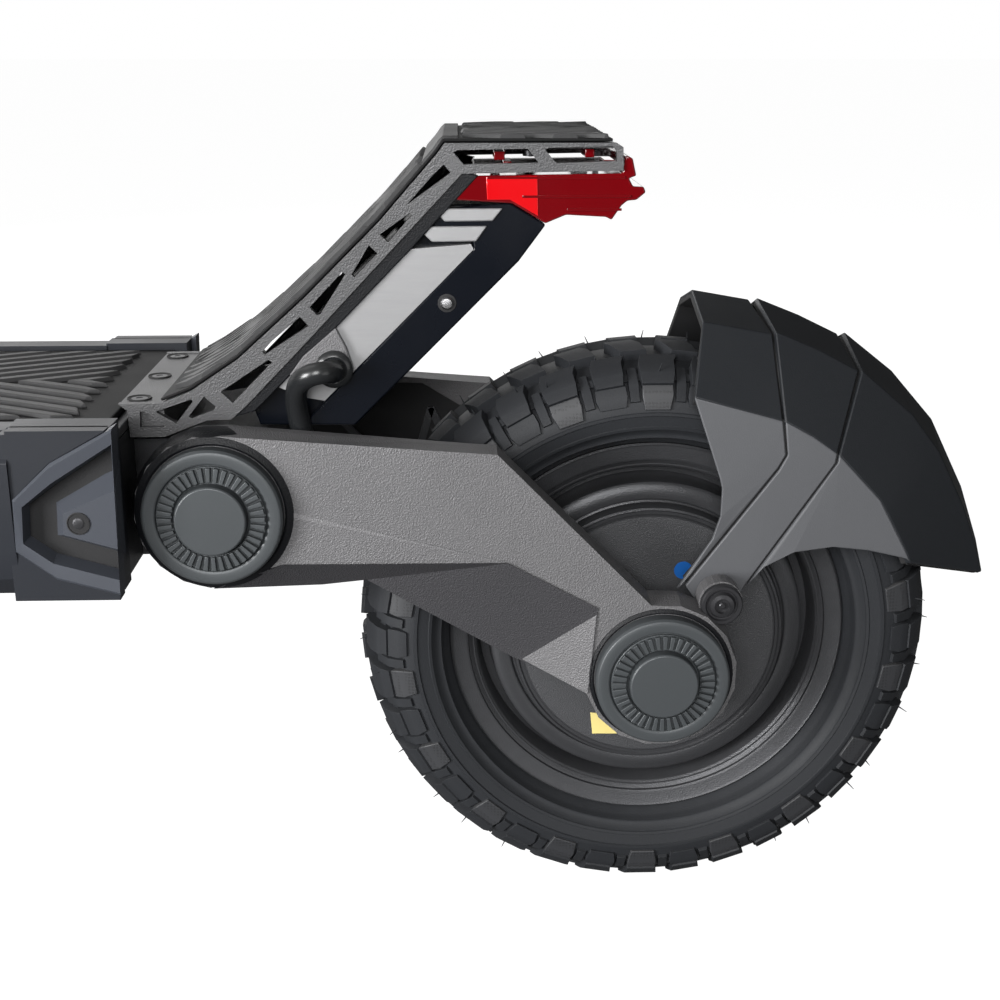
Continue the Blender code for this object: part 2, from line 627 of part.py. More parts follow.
def build_fork(steering):
    """Crown under the head tube, swept back behind the wheel to the housing of the front pivot."""
    back = arc((PIVOT_X, PIVOT_Z), 0.0260, 20, -110, 8)
    outline = [(0.0900, 0.2200), (0.1400, 0.1780)] + back
    outline += [(0.1450, 0.0980), (0.1050, 0.1500), (0.0750, 0.2010)]
    neck = prism(FRONT.outline(outline), -0.0440, 0.0440)
    crown = tilted(box((-0.0380, -0.0420, CROWN_BOTTOM), (0.0300, 0.0420, CROWN_TOP)))
    steerer = tilted(rod(0.0150, CROWN_TOP - 0.005, HEAD_TOP + 0.002, 24))
    bore = across(rod(SHAFT_RADIUS + BORE_GAP, -0.1, 0.1), FRONT.x(PIVOT_X), height(PIVOT_Z))
    node("fork", cut(joined(neck, crown, steerer), bore), "cast", steering)


def build_neck(chassis):
    """Gooseneck from the front of the deck up to the head tube."""
    foot_front, foot_back = REAR.x(DECK_FRONT), REAR.x(0.6590)
    base = height(TRAY_TOP + GAP)
    head_low = STEERING @ Vector((-0.020, 0, CROWN_TOP + 0.016))
    head_high = STEERING @ Vector((-0.020, 0, HEAD_TOP - 0.004))
    outline = [(foot_back, base), (foot_front, base), (foot_front, base + 0.022),
               (foot_front + 0.020, base + 0.055), (head_low.x, head_low.z),
               (head_high.x, head_high.z), (head_high.x - 0.040, head_high.z - 0.016),
               (foot_back + 0.028, base + 0.040), (foot_back, base + 0.012)]
    spine = prism(outline, -0.0300, 0.0300)
    plate = box((foot_back, -0.0680, base), (foot_front, 0.0680, base + 0.012))
    head = tilted(rod(0.0290, CROWN_TOP + 0.0015, HEAD_TOP))
    bore = tilted(rod(0.0155, CROWN_TOP - 0.01, HEAD_TOP + 0.01, 24))
    node("gooseneck", cut(joined(spine, plate, head), bore), "cast", chassis)


BLOCK = [(0.001 - BLOCK_HALF, -BLOCK_HALF), (BLOCK_HALF, -BLOCK_HALF), (BLOCK_HALF, BLOCK_HALF),
         (0.001 - BLOCK_HALF, BLOCK_HALF)]


def build_stem_base(steering):
    """Lower half of the folding joint, clamped to the top of the steerer."""
    low = HEAD_TOP + 0.0026
    block = tilted(slab(BLOCK, low, HINGE_HEIGHT))
    ears = []
    for sign in SIDES.values():
        ear = across(rod(0.0092, 0.0140, 0.0235, 20), -HINGE_BACK, HINGE_HEIGHT, sign)
        root = box((-HINGE_BACK - 0.004, min(sign * 0.0140, sign * 0.0235), HINGE_HEIGHT - 0.020),
                   (-0.0200, max(sign * 0.0140, sign * 0.0235), HINGE_HEIGHT - 0.0005))
        ears += [tilted(ear), tilted(root)]
    pin = across(rod(0.0040, -0.0180, 0.0180, 16), -HINGE_BACK, HINGE_HEIGHT)
    node("stem_base", joined(block, *ears, tilted(pin)), "cast", steering)


def build_stem(stem):
    low = HINGE_HEIGHT + GAP
    block = slab(BLOCK, low, low + 0.060)
    knuckle = across(rod(0.0090, -0.0132, 0.0132, 20), -HINGE_BACK, HINGE_HEIGHT)
    web = box((-HINGE_BACK, -0.0132, HINGE_HEIGHT + 0.0010), (-0.0200, 0.0132, HINGE_HEIGHT + 0.0150))
    pin_hole = across(rod(0.0046, -0.02, 0.02, 16), -HINGE_BACK, HINGE_HEIGHT)
    tube = rod(STEM_RADIUS, low + 0.050, BAR_HEIGHT - 0.010)
    clamp = across(rod(BAR_CLAMP_RADIUS, -0.0260, 0.0260), 0, BAR_HEIGHT)
    hole = across(rod(BAR_RADIUS + GAP, -0.05, 0.05), 0, BAR_HEIGHT)
    node("stem_tube", tilted(cut(joined(block, knuckle, web, tube, clamp), pin_hole, hole)), "cast", stem)


def build_cockpit(stem):
    perch_y = BAR_HALF_WIDTH - 0.1480
    grip_start = BAR_HALF_WIDTH - 0.1300
    taper = 0.1100
    half = [(BAR_RADIUS, taper), (GRIP_BAR_RADIUS, taper + 0.025), (GRIP_BAR_RADIUS, BAR_HALF_WIDTH - 0.004)]
    profile = [(0, -half[-1][1])] + [(r, -y) for r, y in reversed(half)] + half + [(0, half[-1][1])]
    bar = across(turned(profile), 0, BAR_HEIGHT)
    perches = []
    for sign in SIDES.values():
        clamp = across(rod(0.0180, perch_y - 0.011, perch_y + 0.011, 18), 0, BAR_HEIGHT, sign)
        lug = box((0.0100, min(sign * (perch_y - 0.011), sign * (perch_y + 0.011)), BAR_HEIGHT - 0.0090),
                  (0.0330, max(sign * (perch_y - 0.011), sign * (perch_y + 0.011)), BAR_HEIGHT - 0.0044))
        perches += [clamp, lug]
    node("handlebar", tilted(joined(bar, *perches)), "black", stem)
    for side, sign in SIDES.items():
        inner = GRIP_BAR_RADIUS + GAP
        grip = [(inner, grip_start), (0.0185, grip_start), (0.0185, grip_start + 0.004),
                (0.0158, grip_start + 0.007), (0.0158, BAR_HALF_WIDTH - 0.008),
                (0.0180, BAR_HALF_WIDTH - 0.005), (0.0180, BAR_HALF_WIDTH),
                (0, BAR_HALF_WIDTH), (0, BAR_HALF_WIDTH - 0.0035), (inner, BAR_HALF_WIDTH - 0.0035)]
        node(f"grip_{side}", tilted(across(cup(grip, CYLINDER_STEPS), 0, BAR_HEIGHT, sign)), "rubber", stem)

    display = loft([[(x, y, z) for x, y in ((-w, -h), (w, -h), (w, h), (-w, h))]
                    for w, h, z in ((0.0260, 0.0400, 0.0), (0.0280, 0.0420, 0.004), (0.0280, 0.0420, 0.0120),
                                    (0.0260, 0.0400, 0.0150))])
    socket = rod(0.0053, 0.0090, 0.03, 16)
    socket.transform(Matrix.Translation((-0.0200, 0, 0)))
    display = cut(display, socket)
    display.transform(Matrix.Translation((-0.0020, 0, BAR_HEIGHT + BAR_CLAMP_RADIUS + 0.0004)))
    node("display", tilted(display), "glass", stem)
    bowl = [(0, 0), (0.0200, 0), (0.0220, 0.003), (0.0220, 0.0140), (0.0160, 0.0220), (0, 0.0220)]
    lamp = across(turned(bowl), 0, 0)
    lamp.transform(Matrix.Rotation(-math.pi / 2, 4, "Z"))
    lamp.transform(Matrix.Translation((STEM_RADIUS + GAP, 0, BAR_HEIGHT - 0.0800)))
    node("headlight", tilted(lamp), "silver", stem)
    return perch_y


def cup(profile, steps):
    """A blind hollow: the profile leaves the axis on the outside and meets it again inside."""
    cut_at = [i for i, (radius, _) in enumerate(profile) if radius == 0]
    outer, inner = cut_at
    return turned(profile[inner:] + profile[:outer + 1], steps)


def build_button(axis):
    button = rod(0.0048, 0.0110, 0.0170, 16)
    button.transform(Matrix.Translation((-0.0220, 0, BAR_HEIGHT + BAR_CLAMP_RADIUS + 0.0004)))
    node("power_button", tilted(button), "silver", axis)


def build_brake_lever(side, sign, perch_y, axis):
    """Curved blade that swings towards the grip about a pin in its perch."""
    reach = BAR_HALF_WIDTH - 0.0200 - perch_y
    outline = [(0.0230, -0.0080), (0.0380, -0.0080), (0.0440, 0.0100), (0.0500, 0.0350),
               (0.0530, reach * 0.6), (0.0560, reach), (0.0480, reach), (0.0450, reach * 0.6), (0.0400, 0.0350), (0.0330, 0.0180),
               (0.0230, 0.0090)]
    lever = slab([(x, sign * (perch_y + y)) for x, y in outline], BAR_HEIGHT - 0.0040, BAR_HEIGHT + 0.0040)
    node(f"brake_lever_{side}", tilted(lever), "silver", axis)


def build_throttle(axis):
    start = BAR_HALF_WIDTH - 0.1840
    inner, end = BAR_RADIUS - 0.0010, start + 0.010
    ring = across(turned([(inner, start), (0.0200, start), (0.0200, end), (inner, end)]), 0, BAR_HEIGHT, -1)
    paddle = box((-0.0420, -start - 0.020, -0.0035), (-0.0175, -start, 0.0035))
    paddle.transform(Matrix.Translation((0, 0, BAR_HEIGHT)))
    node("throttle", tilted(joined(ring, paddle)), "black", axis)


def build_fold_lever(axis):
    front, low = LATCH_FRONT, LATCH_LOW
    plate = box((front, -0.0160, low), (front + 0.0080, 0.0160, low + 0.0480))
    tab = box((front + 0.0060, -0.0120, low + 0.0380), (front + 0.0160, 0.0120, low + 0.0480))
    node("fold_lever", tilted(joined(plate, tab)), "black", axis)


# ---------------------------------------------------------------- kickstand

STAND_X, STAND_Y = 0.3900, 0.0600
STAND_START = Vector((REAR.x(STAND_X), STAND_Y, height(TRAY_BOTTOM) - 0.0190))
STAND_FOOT = STAND_START + Vector((0.0150, 0.0900, 0.0062 - STAND_START.z))
STAND_FOLDED = Vector((-0.985, 0.170, 0.0))
STAND_AXIS = (STAND_FOOT - STAND_START).cross(STAND_FOLDED).normalized()


def build_kickstand(chassis, leg_axis):
    """Bracket under the deck, and the leg that swings up and back about its tilted pin."""
    top = height(TRAY_BOTTOM) - GAP
    start, foot, half = STAND_START, STAND_FOOT, 0.0080
    plate = box((start.x - 0.0300, start.y - 0.0300, top - 0.0040), (start.x + 0.0300, start.y + 0.0100, top))
    web = box((start.x - 0.0110, start.y - 0.0300, start.z - 0.0100),
              (start.x + 0.0110, start.y - 0.0195, top - 0.0020))
    boss = between(start - STAND_AXIS * (half + 0.0110), start - STAND_AXIS * (half + GAP), 0.0100)
    node("kickstand_bracket", joined(plate, web, boss), "cast", chassis)
    hub = between(start - STAND_AXIS * half, start + STAND_AXIS * half, 0.0095)
    leg = between(start, foot, 0.0065, 16)
    pad = box((foot.x - 0.0120, foot.y - 0.0130, GAP), (foot.x + 0.0120, foot.y + 0.0130, 0.0100))
    node("kickstand_leg", joined(leg, pad, hub), "steel", leg_axis)


# ---------------------------------------------------------------- assembly


def main():
    for found in list(bpy.data.objects):
        bpy.data.objects.remove(found, do_unlink=True)

    chassis = joint("chassis", (0, 0, 0))
    rear_arm = joint("rear_arm_axis", (REAR.x(PIVOT_X), 0, height(PIVOT_Z)), chassis)
    rear_wheel = joint("rear_wheel_axis", (REAR.x(0), 0, height(0)), rear_arm)
    tilt = STEERING.to_3x3().to_4x4()
    steering = joint("steering_axis", STEERING @ Vector((0, 0, CROWN_TOP)), chassis, tilt)
    front_arm = joint("front_arm_axis", (FRONT.x(PIVOT_X), 0, height(PIVOT_Z)), steering)
    front_wheel = joint("front_wheel_axis", (FRONT.x(0), 0, height(0)), front_arm)
    stem = joint("stem_axis", STEERING @ Vector((-HINGE_BACK, 0, HINGE_HEIGHT)), steering)
    latch = joint("fold_lever_axis", STEERING @ Vector((LATCH_FRONT, 0, LATCH_LOW)), stem)
    stand = joint("kickstand_axis", STAND_START, chassis)

    build_deck(chassis)
    build_tail(chassis)
    build_motor_cable(chassis)
    build_neck(chassis)
    build_kickstand(chassis, stand)
    build_fork(steering)
    build_stem_base(steering)
    build_stem(stem)
    build_fold_lever(latch)
    perch_y = build_cockpit(stem)
    button = joint("power_button_axis", STEERING @ Vector((-0.0220, 0, BAR_HEIGHT + 0.0400)), stem)
    build_button(button)
    for side, sign in SIDES.items():
        pin = joint(f"brake_lever_{side}_axis", STEERING @ Vector((0.0290, sign * perch_y, BAR_HEIGHT)), stem)
        build_brake_lever(side, sign, perch_y, pin)
    throttle = joint("throttle_axis", STEERING @ Vector((0, 0, BAR_HEIGHT)), stem)
    build_throttle(throttle)

    tails = {"rear": (FENDER_END, 168.4, 159.1), "front": (143.0, 141.0, 138.0)}
    for end, arm, wheel in ((REAR, rear_arm, rear_wheel), (FRONT, front_arm, front_wheel)):
        for side, sign in SIDES.items():
            build_arm(end, side, sign, arm)
        build_shafts(end, arm)
        build_tyre(end, wheel)
        build_brake(end, wheel, arm)
        build_fender(end, tails[end.name], arm)
    build_motor_wheel(REAR, rear_wheel, rear_arm)
    build_plain_wheel(FRONT, front_wheel)


main()
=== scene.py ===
"""Studio scene of an electric kick scooter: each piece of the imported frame, detailed and dressed."""

import json
import logging
import math
import random
from dataclasses import dataclass, field
from enum import Enum
from typing import Callable, Iterable, Sequence

import bmesh
import bpy
from mathutils import Matrix, Vector


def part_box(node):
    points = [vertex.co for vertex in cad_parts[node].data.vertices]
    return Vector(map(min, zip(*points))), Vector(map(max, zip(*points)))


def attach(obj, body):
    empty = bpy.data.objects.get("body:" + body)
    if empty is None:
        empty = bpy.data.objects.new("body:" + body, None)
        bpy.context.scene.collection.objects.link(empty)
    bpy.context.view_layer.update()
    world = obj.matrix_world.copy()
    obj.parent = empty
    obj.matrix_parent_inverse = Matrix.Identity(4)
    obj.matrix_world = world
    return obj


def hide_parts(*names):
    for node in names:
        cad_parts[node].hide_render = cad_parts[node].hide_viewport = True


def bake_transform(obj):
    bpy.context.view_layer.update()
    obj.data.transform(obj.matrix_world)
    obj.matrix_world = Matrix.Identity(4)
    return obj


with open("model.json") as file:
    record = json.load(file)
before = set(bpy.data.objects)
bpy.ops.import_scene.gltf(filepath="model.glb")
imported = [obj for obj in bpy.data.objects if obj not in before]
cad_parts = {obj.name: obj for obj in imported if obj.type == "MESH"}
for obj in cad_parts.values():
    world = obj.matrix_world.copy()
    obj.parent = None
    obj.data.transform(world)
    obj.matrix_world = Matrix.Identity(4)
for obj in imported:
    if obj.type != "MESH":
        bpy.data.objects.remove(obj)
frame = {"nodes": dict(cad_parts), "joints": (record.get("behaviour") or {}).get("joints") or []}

LOG = logging.getLogger("scooter")
Pair = tuple[float, float]
Triple = tuple[float, float, float]
Ring = list[Triple]

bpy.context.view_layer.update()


def joint_place(name: str) -> Vector:
    """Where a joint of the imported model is, in metres."""
    return Vector(next(j["pos_m"] for j in frame["joints"] if j["name"] == name))


REAR_AXLE = joint_place("rear_wheel_spin")
FRONT_AXLE = joint_place("front_wheel_spin")
RAKE = math.radians(15.0)
STEERING = Matrix.Translation((FRONT_AXLE.x + 0.035, 0, 0)) @ Matrix.Rotation(-RAKE, 4, "Y")


@dataclass(frozen=True)
class End:
    """One end of the scooter.

    Args:
        name: rear or front, as the nodes and bodies are called.
        axle: the middle of its axle.
        inward: the direction along X from the axle to the deck.
    """

    name: str
    axle: Vector
    inward: int

    def at(self, x: float, y: float, z: float) -> Triple:
        """A point given from the axle, with x counted towards the deck."""
        return (self.axle.x + self.inward * x, y, self.axle.z + z)

    def outline(self, points: Iterable[Pair]) -> list[Pair]:
        """An (x, z) outline given from the axle, in the model's own frame."""
        return [(self.axle.x + self.inward * x, self.axle.z + z) for x, z in points]

    def slab(self, points: Iterable[Pair], low: float, high: float, sign: int) -> bmesh.types.BMesh:
        """An outline given from the axle, extruded between two distances out on one side."""
        return prism(self.outline(points), *sorted((sign * low, sign * high)))

    def slabs(self, points: Iterable[Pair], low: float, high: float) -> list[bmesh.types.BMesh]:
        """The same slab on each side."""
        return [self.slab(points, low, high, sign) for sign in SIDES.values()]

    def turned(self, profile: Sequence[Pair], steps: int = 96, spot: Pair = (0.0, 0.0),
               side: int = 1) -> bmesh.types.BMesh:
        """A (radius, outwards) profile turned about a spot given from the axle."""
        x, _, z = self.at(spot[0], 0, spot[1])
        return across(turned(profile, steps), x, z, side)


REAR = End("rear", REAR_AXLE, 1)
FRONT = End("front", FRONT_AXLE, -1)
SIDES = {"left": 1, "right": -1}


# ---------------------------------------------------------------- shapes


def loft(rings: Sequence[Ring], capped: bool = True, looped: bool = False) -> bmesh.types.BMesh:
    """Skins a solid over rings of equally many points.

    Args:
        rings: the sections, in order.
        capped: whether the first and last ring are filled.
        looped: whether the last ring joins the first.

    Returns:
        The skinned mesh.
    """
    bm = bmesh.new()
    loops = [[bm.verts.new(point) for point in ring] for ring in rings]
    pairs = list(zip(loops, loops[1:])) + ([(loops[-1], loops[0])] if looped else [])
    count = len(loops[0])
    for lower, upper in pairs:
        for i in range(count):
            j = (i + 1) % count
            bm.faces.new((lower[i], lower[j], upper[j], upper[i]))
    if capped and not looped:
        bm.faces.new(loops[0][::-1])
        bm.faces.new(loops[-1])
    bmesh.ops.recalc_face_normals(bm, faces=bm.faces)
    return bm


def prism(outline: Sequence[Pair], low: float, high: float) -> bmesh.types.BMesh:
    """An (x, z) outline extruded along Y."""
    return loft([[(x, y, z) for x, z in outline] for y in (low, high)])


def cuboid(low: Triple, high: Triple) -> bmesh.types.BMesh:
    """A block between two corners."""
    corners = [(low[0], low[1]), (high[0], low[1]), (high[0], high[1]), (low[0], high[1])]
    return loft([[(x, y, z) for x, y in corners] for z in (low[2], high[2])])


def turns(count: int) -> list[float]:
    """Evenly spaced angles round a full turn."""
    return [math.tau * i / count for i in range(count)]


def turned(profile: Sequence[Pair], steps: int = 96) -> bmesh.types.BMesh:
    """Turns a (radius, along) profile about Z.

    Args:
        profile: points from the axis out and back to it, or a closed section off the axis.
        steps: how many facets go round.

    Returns:
        The closed mesh.
    """
    bm = bmesh.new()
    rings = []
    for radius, z in profile:
        if radius < 1e-9:
            rings.append([bm.verts.new((0, 0, z))])
            continue
        rings.append([bm.verts.new((radius * math.cos(t), radius * math.sin(t), z)) for t in turns(steps)])
    on_axis = len(rings[0]) == 1
    for lower, upper in zip(rings, rings[1:] if on_axis else rings[1:] + rings[:1]):
        for i in range(steps):
            j = (i + 1) % steps
            corners = [lower[i % len(lower)], lower[j % len(lower)], upper[j % len(upper)], upper[i % len(upper)]]
            bm.faces.new(list(dict.fromkeys(corners)))
    bmesh.ops.recalc_face_normals(bm, faces=bm.faces)
    return bm


def across(bm: bmesh.types.BMesh, x: float, z: float, side: int = 1) -> bmesh.types.BMesh:
    """Lays a shape made about Z along Y, with its top towards one side."""
    bm.transform(Matrix.Translation((x, 0, z)) @ Matrix.Rotation(-side * math.pi / 2, 4, "X"))
    return bm


def raked(bm: bmesh.types.BMesh) -> bmesh.types.BMesh:
    """Moves a shape made about the steering axis, with Z up along it, to its place."""
    bm.transform(STEERING)
    return bm


def pierced(outline: Sequence[Pair], holes: Sequence[Sequence[Pair]], low: float, high: float) -> bmesh.types.BMesh:
    """An (x, z) plate with holes, extruded along Y."""
    bm = bmesh.new()
    front, pairs, rims = [], {}, []
    for loop in [outline, *holes]:
        near = [bm.verts.new((x, low, z)) for x, z in loop]
        far = [bm.verts.new((x, high, z)) for x, z in loop]
        for i in range(len(loop)):
            j = (i + 1) % len(loop)
            rims.append((near[i], near[j], far[j], far[i]))
            front.append(bm.edges.new((near[i], near[j])))
        pairs.update(zip(near, far))
    bmesh.ops.triangle_fill(bm, edges=front, use_beauty=True)
    for face in list(bm.faces):
        bm.faces.new([pairs[vert] for vert in reversed(face.verts)])
    for corners in rims:
        bm.faces.new(corners)
    bmesh.ops.recalc_face_normals(bm, faces=bm.faces)
    return bm


def merged(shapes: Iterable[bmesh.types.BMesh]) -> bmesh.types.BMesh:
    """Several shapes put in one mesh, each still closed on its own."""
    whole = bmesh.new()
    for bm in shapes:
        mesh = bpy.data.meshes.new("part")
        bm.to_mesh(mesh)
        bm.free()
        whole.from_mesh(mesh)
        bpy.data.meshes.remove(mesh)
    return whole


def circle(centre: Pair, radius: float, steps: int = 24) -> list[Pair]:
    """Points round a circle."""
    return [(centre[0] + radius * math.cos(t), centre[1] + radius * math.sin(t)) for t in turns(steps)]


def flowing(points: Sequence[Triple], spacing: float) -> list[Vector]:
    """Evenly spaced points on a smooth curve through the given ones."""
    knots = [Vector(point) for point in points]
    padded = [2 * knots[0] - knots[1], *knots, 2 * knots[-1] - knots[-2]]
    route = [knots[0]]
    for a, b, c, d in zip(padded, padded[1:], padded[2:], padded[3:]):
        steps = max(1, round((c - b).length / spacing))
        for step in range(1, steps + 1):
            t = step / steps
            route.append(0.5 * (2 * b + (c - a) * t + (2 * a - 5 * b + 4 * c - d) * t**2
                                + (3 * b - a - 3 * c + d) * t**3))
    return route


def hose(route: Sequence[Vector], radius: Callable[[float], float], sides: int = 24) -> bmesh.types.BMesh:
    """A round tube along a route.

    Args:
        route: the centreline.
        radius: gives the radius at a share of the way along.
        sides: how many facets go round.

    Returns:
        The closed tube.
    """
    rings, normal = [], Vector((0, 0, 1))
    for i, point in enumerate(route):
        ahead = (route[min(i + 1, len(route) - 1)] - route[max(i - 1, 0)]).normalized()
        normal = (normal - ahead * normal.dot(ahead)).normalized()
        beside = ahead.cross(normal)
        r = radius(i / (len(route) - 1))
        rings.append([tuple(point + r * (math.cos(t) * normal + math.sin(t) * beside)) for t in turns(sides)])
    return loft(rings)


def frustum(base: Sequence[Triple], top: Sequence[Triple]) -> bmesh.types.BMesh:
    """A solid between two outlines of equally many points."""
    return loft([list(base), list(top)])


# ---------------------------------------------------------------- finishes

BROAD_SCALE, BROAD_SHARE, FINE_SHARE = 22.0, 0.7, 0.3
DOT_RADIUS = 0.34
WEAR_SHARE = 0.5
GLOSS_SPREAD = 0.22
COAT_ROUGHNESS = 0.06
BUMP_DEPTH, DOT_DEPTH = 0.0004, 0.0008
GLOW_STRENGTH = 0.32
DUST_COLOUR = (0.32, 0.31, 0.29)


class Grain(Enum):
    """What the surface of a finish is like close up."""

    MOULDED = "moulded"
    CAST = "cast"
    BRUSHED = "brushed"
    DOTTED = "dotted"
    SMOOTH = "smooth"


@dataclass(frozen=True)
class Finish:
    """How a material looks.

    Args:
        name: what the finish is called.
        colour: the main colour.
        shade: the second colour that the grain and the wear bring out.
        roughness: the middle roughness.
        metallic: how metallic it is.
        grain: the kind of surface.
        scale: how many grains there are in a metre.
        relief: how deep the grain looks.
        blotch: how much the second colour shows.
        dust: how much dust lies on faces that look up.
        coat: how strong a clear coat is.
        specular: how strongly it reflects.
        glow: the colour that it gives out, or None.
    """

    name: str
    colour: Triple
    shade: Triple
    roughness: float
    metallic: float = 0.0
    grain: Grain = Grain.MOULDED
    scale: float = 900.0
    relief: float = 0.2
    blotch: float = 0.35
    dust: float = 0.1
    coat: float = 0.0
    specular: float = 0.5
    glow: Triple | None = None


class Finishes:
    """The finishes of the scooter's own pieces."""

    ARM = Finish("arm_cast_grey", (0.136, 0.134, 0.138), (0.078, 0.076, 0.079), 0.50, metallic=0.20,
                 grain=Grain.CAST, scale=1500, relief=0.60, blotch=0.4, dust=0.03)
    # Near-black painted shade: the rings round the caps stand for the shaded fillet of each boss, and the lip under
    # the tail's side plates.
    SHADE_BLACK = Finish("boss_and_lip_painted_shade", (0.0060, 0.0065, 0.008), (0.004, 0.004, 0.005), 0.42, grain=Grain.CAST,
                  scale=1500, relief=0.3, blotch=0.3, dust=0.01, specular=0.2)
    FRAME = Finish("tail_frame_grey", (0.105, 0.105, 0.108), (0.050, 0.050, 0.052), 0.40, metallic=0.45,
                   grain=Grain.CAST, scale=1400, relief=0.35, blotch=0.5, dust=0.03)
    CAP = Finish("cap_grey_green", (0.058, 0.064, 0.068), (0.040, 0.045, 0.048), 0.42, metallic=0.2, scale=1800,
                 relief=0.15, dust=0.02)
    COVER = Finish("side_cover_blue_grey", (0.050, 0.055, 0.067), (0.028, 0.031, 0.039), 0.46, scale=2200,
                   relief=0.12, dust=0.02, specular=0.3)
    # A darker copy of the cover's blue-grey: painted shade on the side cover's long face; the stem parts and
    # handlebar use it as their own dark grey.
    COVER_BODY = Finish("side_cover_dark", (0.017, 0.019, 0.024), (0.010, 0.011, 0.014), 0.40, scale=2200,
                        relief=0.12, dust=0.01, specular=0.3)
    SLAB = Finish("tail_cover_black", (0.0015, 0.0026, 0.0055), (0.0010, 0.0014, 0.003), 0.28, scale=1600,
                  relief=0.08, dust=0.01, specular=0.2)
    SILVER = Finish("panel_silver", (0.33, 0.33, 0.335), (0.20, 0.20, 0.205), 0.40, metallic=0.45,
                    grain=Grain.BRUSHED, scale=500, relief=0.12, blotch=0.5, dust=0.02)
    # One fender plastic in two copies: darker on the panels as painted shade, lighter on the skirts as painted
    # light.
    FENDER_PANELS_SHADED = Finish("fender_panels_painted_shade", (0.0150, 0.0165, 0.0190), (0.009, 0.010, 0.012), 0.42, scale=2400,
                    relief=0.22, dust=0.01, specular=0.25)
    SKIRTS_LIT = Finish("fender_skirts_painted_light", (0.088, 0.090, 0.096), (0.062, 0.064, 0.069), 0.44, scale=2400,
                   relief=0.22, dust=0.02, specular=0.35)
    # Near-black painted shade for pockets, holes, sockets, laps and the fender's underside.
    RECESS_SHADE = Finish("recess_painted_shade_black", (0.006, 0.006, 0.007), (0.012, 0.012, 0.012), 0.75, scale=1200)
    MAT = Finish("grip_mat_rubber", (0.021, 0.021, 0.022), (0.011, 0.011, 0.012), 0.58, scale=2600, relief=0.3,
                 blotch=0.4, dust=0.06)
    # A darker copy of the mat rubber for the base between the ribs: painted shade in the grooves.
    MAT_GROOVE_SHADED = Finish("grip_mat_groove_painted_shade", (0.0070, 0.0070, 0.0075), (0.004, 0.004, 0.004), 0.7, scale=2600,
                        relief=0.3, blotch=0.4, dust=0.02, specular=0.2)
    # A darker copy of the arm's cast grey: painted shade on the facet that faces down.
    ARM_FACET_SHADE = Finish("arm_lower_facet_painted_shade", (0.046, 0.045, 0.049), (0.028, 0.028, 0.030), 0.50, metallic=0.10,
                       grain=Grain.CAST, scale=1500, relief=0.60, blotch=0.4, dust=0.01, specular=0.3)
    TYRE = Finish("tyre_rubber", (0.0190, 0.0205, 0.0235), (0.010, 0.011, 0.013), 0.60, scale=1800, relief=0.3,
                  blotch=0.5, dust=0.03, specular=0.3)
    TYRE_DOTS = Finish("tyre_rubber_dotted", (0.026, 0.027, 0.030), (0.004, 0.004, 0.004), 0.55,
                       grain=Grain.DOTTED, scale=640, relief=1.0)
    RIM = Finish("rim_satin_black", (0.055, 0.056, 0.060), (0.032, 0.033, 0.036), 0.36, metallic=0.45,
                 grain=Grain.CAST, scale=1600, dust=0.02)
    HUB = Finish("hub_cover_black", (0.060, 0.061, 0.065), (0.036, 0.037, 0.040), 0.46, metallic=0.2,
                 grain=Grain.CAST, scale=1900, relief=0.45, dust=0.02)
    STEEL = Finish("machined_steel", (0.42, 0.42, 0.43), (0.22, 0.22, 0.23), 0.28, metallic=1.0,
                   grain=Grain.BRUSHED, relief=0.15)
    BLACK_BOLT = Finish("blacked_bolt", (0.050, 0.050, 0.054), (0.028, 0.028, 0.030), 0.33, metallic=0.6,
                        grain=Grain.SMOOTH, scale=800, relief=0.05, dust=0.02)
    LENS = Finish("tail_lens_red", (0.14, 0.0009, 0.0028), (0.07, 0.0005, 0.0015), 0.10, grain=Grain.SMOOTH,
                  scale=120, relief=0.02, blotch=0.3, dust=0.0, coat=0.8, specular=0.6)
    LENS_LIT = Finish("tail_lens_lit", (0.52, 0.0020, 0.0045), (0.40, 0.0012, 0.003), 0.14, grain=Grain.SMOOTH,
                      scale=120, relief=0.02, blotch=0.3, dust=0.0, coat=0.8, specular=0.6,
                      glow=(0.30, 0.0010, 0.0030))
    CABLE = Finish("cable_black", (0.010, 0.011, 0.012), (0.018, 0.018, 0.019), 0.26, grain=Grain.SMOOTH,
                   relief=0.06)
    PLASTIC = Finish("plain_black_plastic", (0.014, 0.014, 0.015), (0.022, 0.022, 0.023), 0.40, scale=1900,
                     relief=0.15)
    GLASS_BLACK = Finish("display_glass", (0.006, 0.006, 0.008), (0.010, 0.010, 0.013), 0.06,
                         grain=Grain.SMOOTH, scale=50, relief=0.0, blotch=0.2, dust=0.0, coat=1.0, specular=0.6)
    SCREEN = Finish("screen_segments", (0.55, 0.75, 0.80), (0.40, 0.60, 0.66), 0.3, grain=Grain.SMOOTH,
                    scale=50, relief=0.0, blotch=0.1, dust=0.0, specular=0.4, glow=(0.35, 0.55, 0.60))
    LAMP = Finish("lamp_lens", (0.62, 0.64, 0.66), (0.45, 0.47, 0.50), 0.10, grain=Grain.DOTTED, scale=420,
                  relief=0.35, blotch=0.3, dust=0.0, coat=1.0)
    COPPER = Finish("winding_copper", (0.52, 0.22, 0.10), (0.30, 0.10, 0.04), 0.38, metallic=0.9,
                    grain=Grain.BRUSHED, scale=700, relief=0.4)
    PACK = Finish("battery_wrap_blue", (0.03, 0.10, 0.25), (0.02, 0.06, 0.16), 0.5, scale=300, relief=0.15)
    DOT_BLUE = Finish("inspection_dot_blue", (0.015, 0.14, 0.50), (0.010, 0.09, 0.36), 0.35, grain=Grain.SMOOTH,
                      scale=400, relief=0.05)
    LABEL = Finish("plain_label_yellow", (0.72, 0.60, 0.22), (0.60, 0.48, 0.16), 0.5, grain=Grain.SMOOTH,
                   scale=400, relief=0.05)


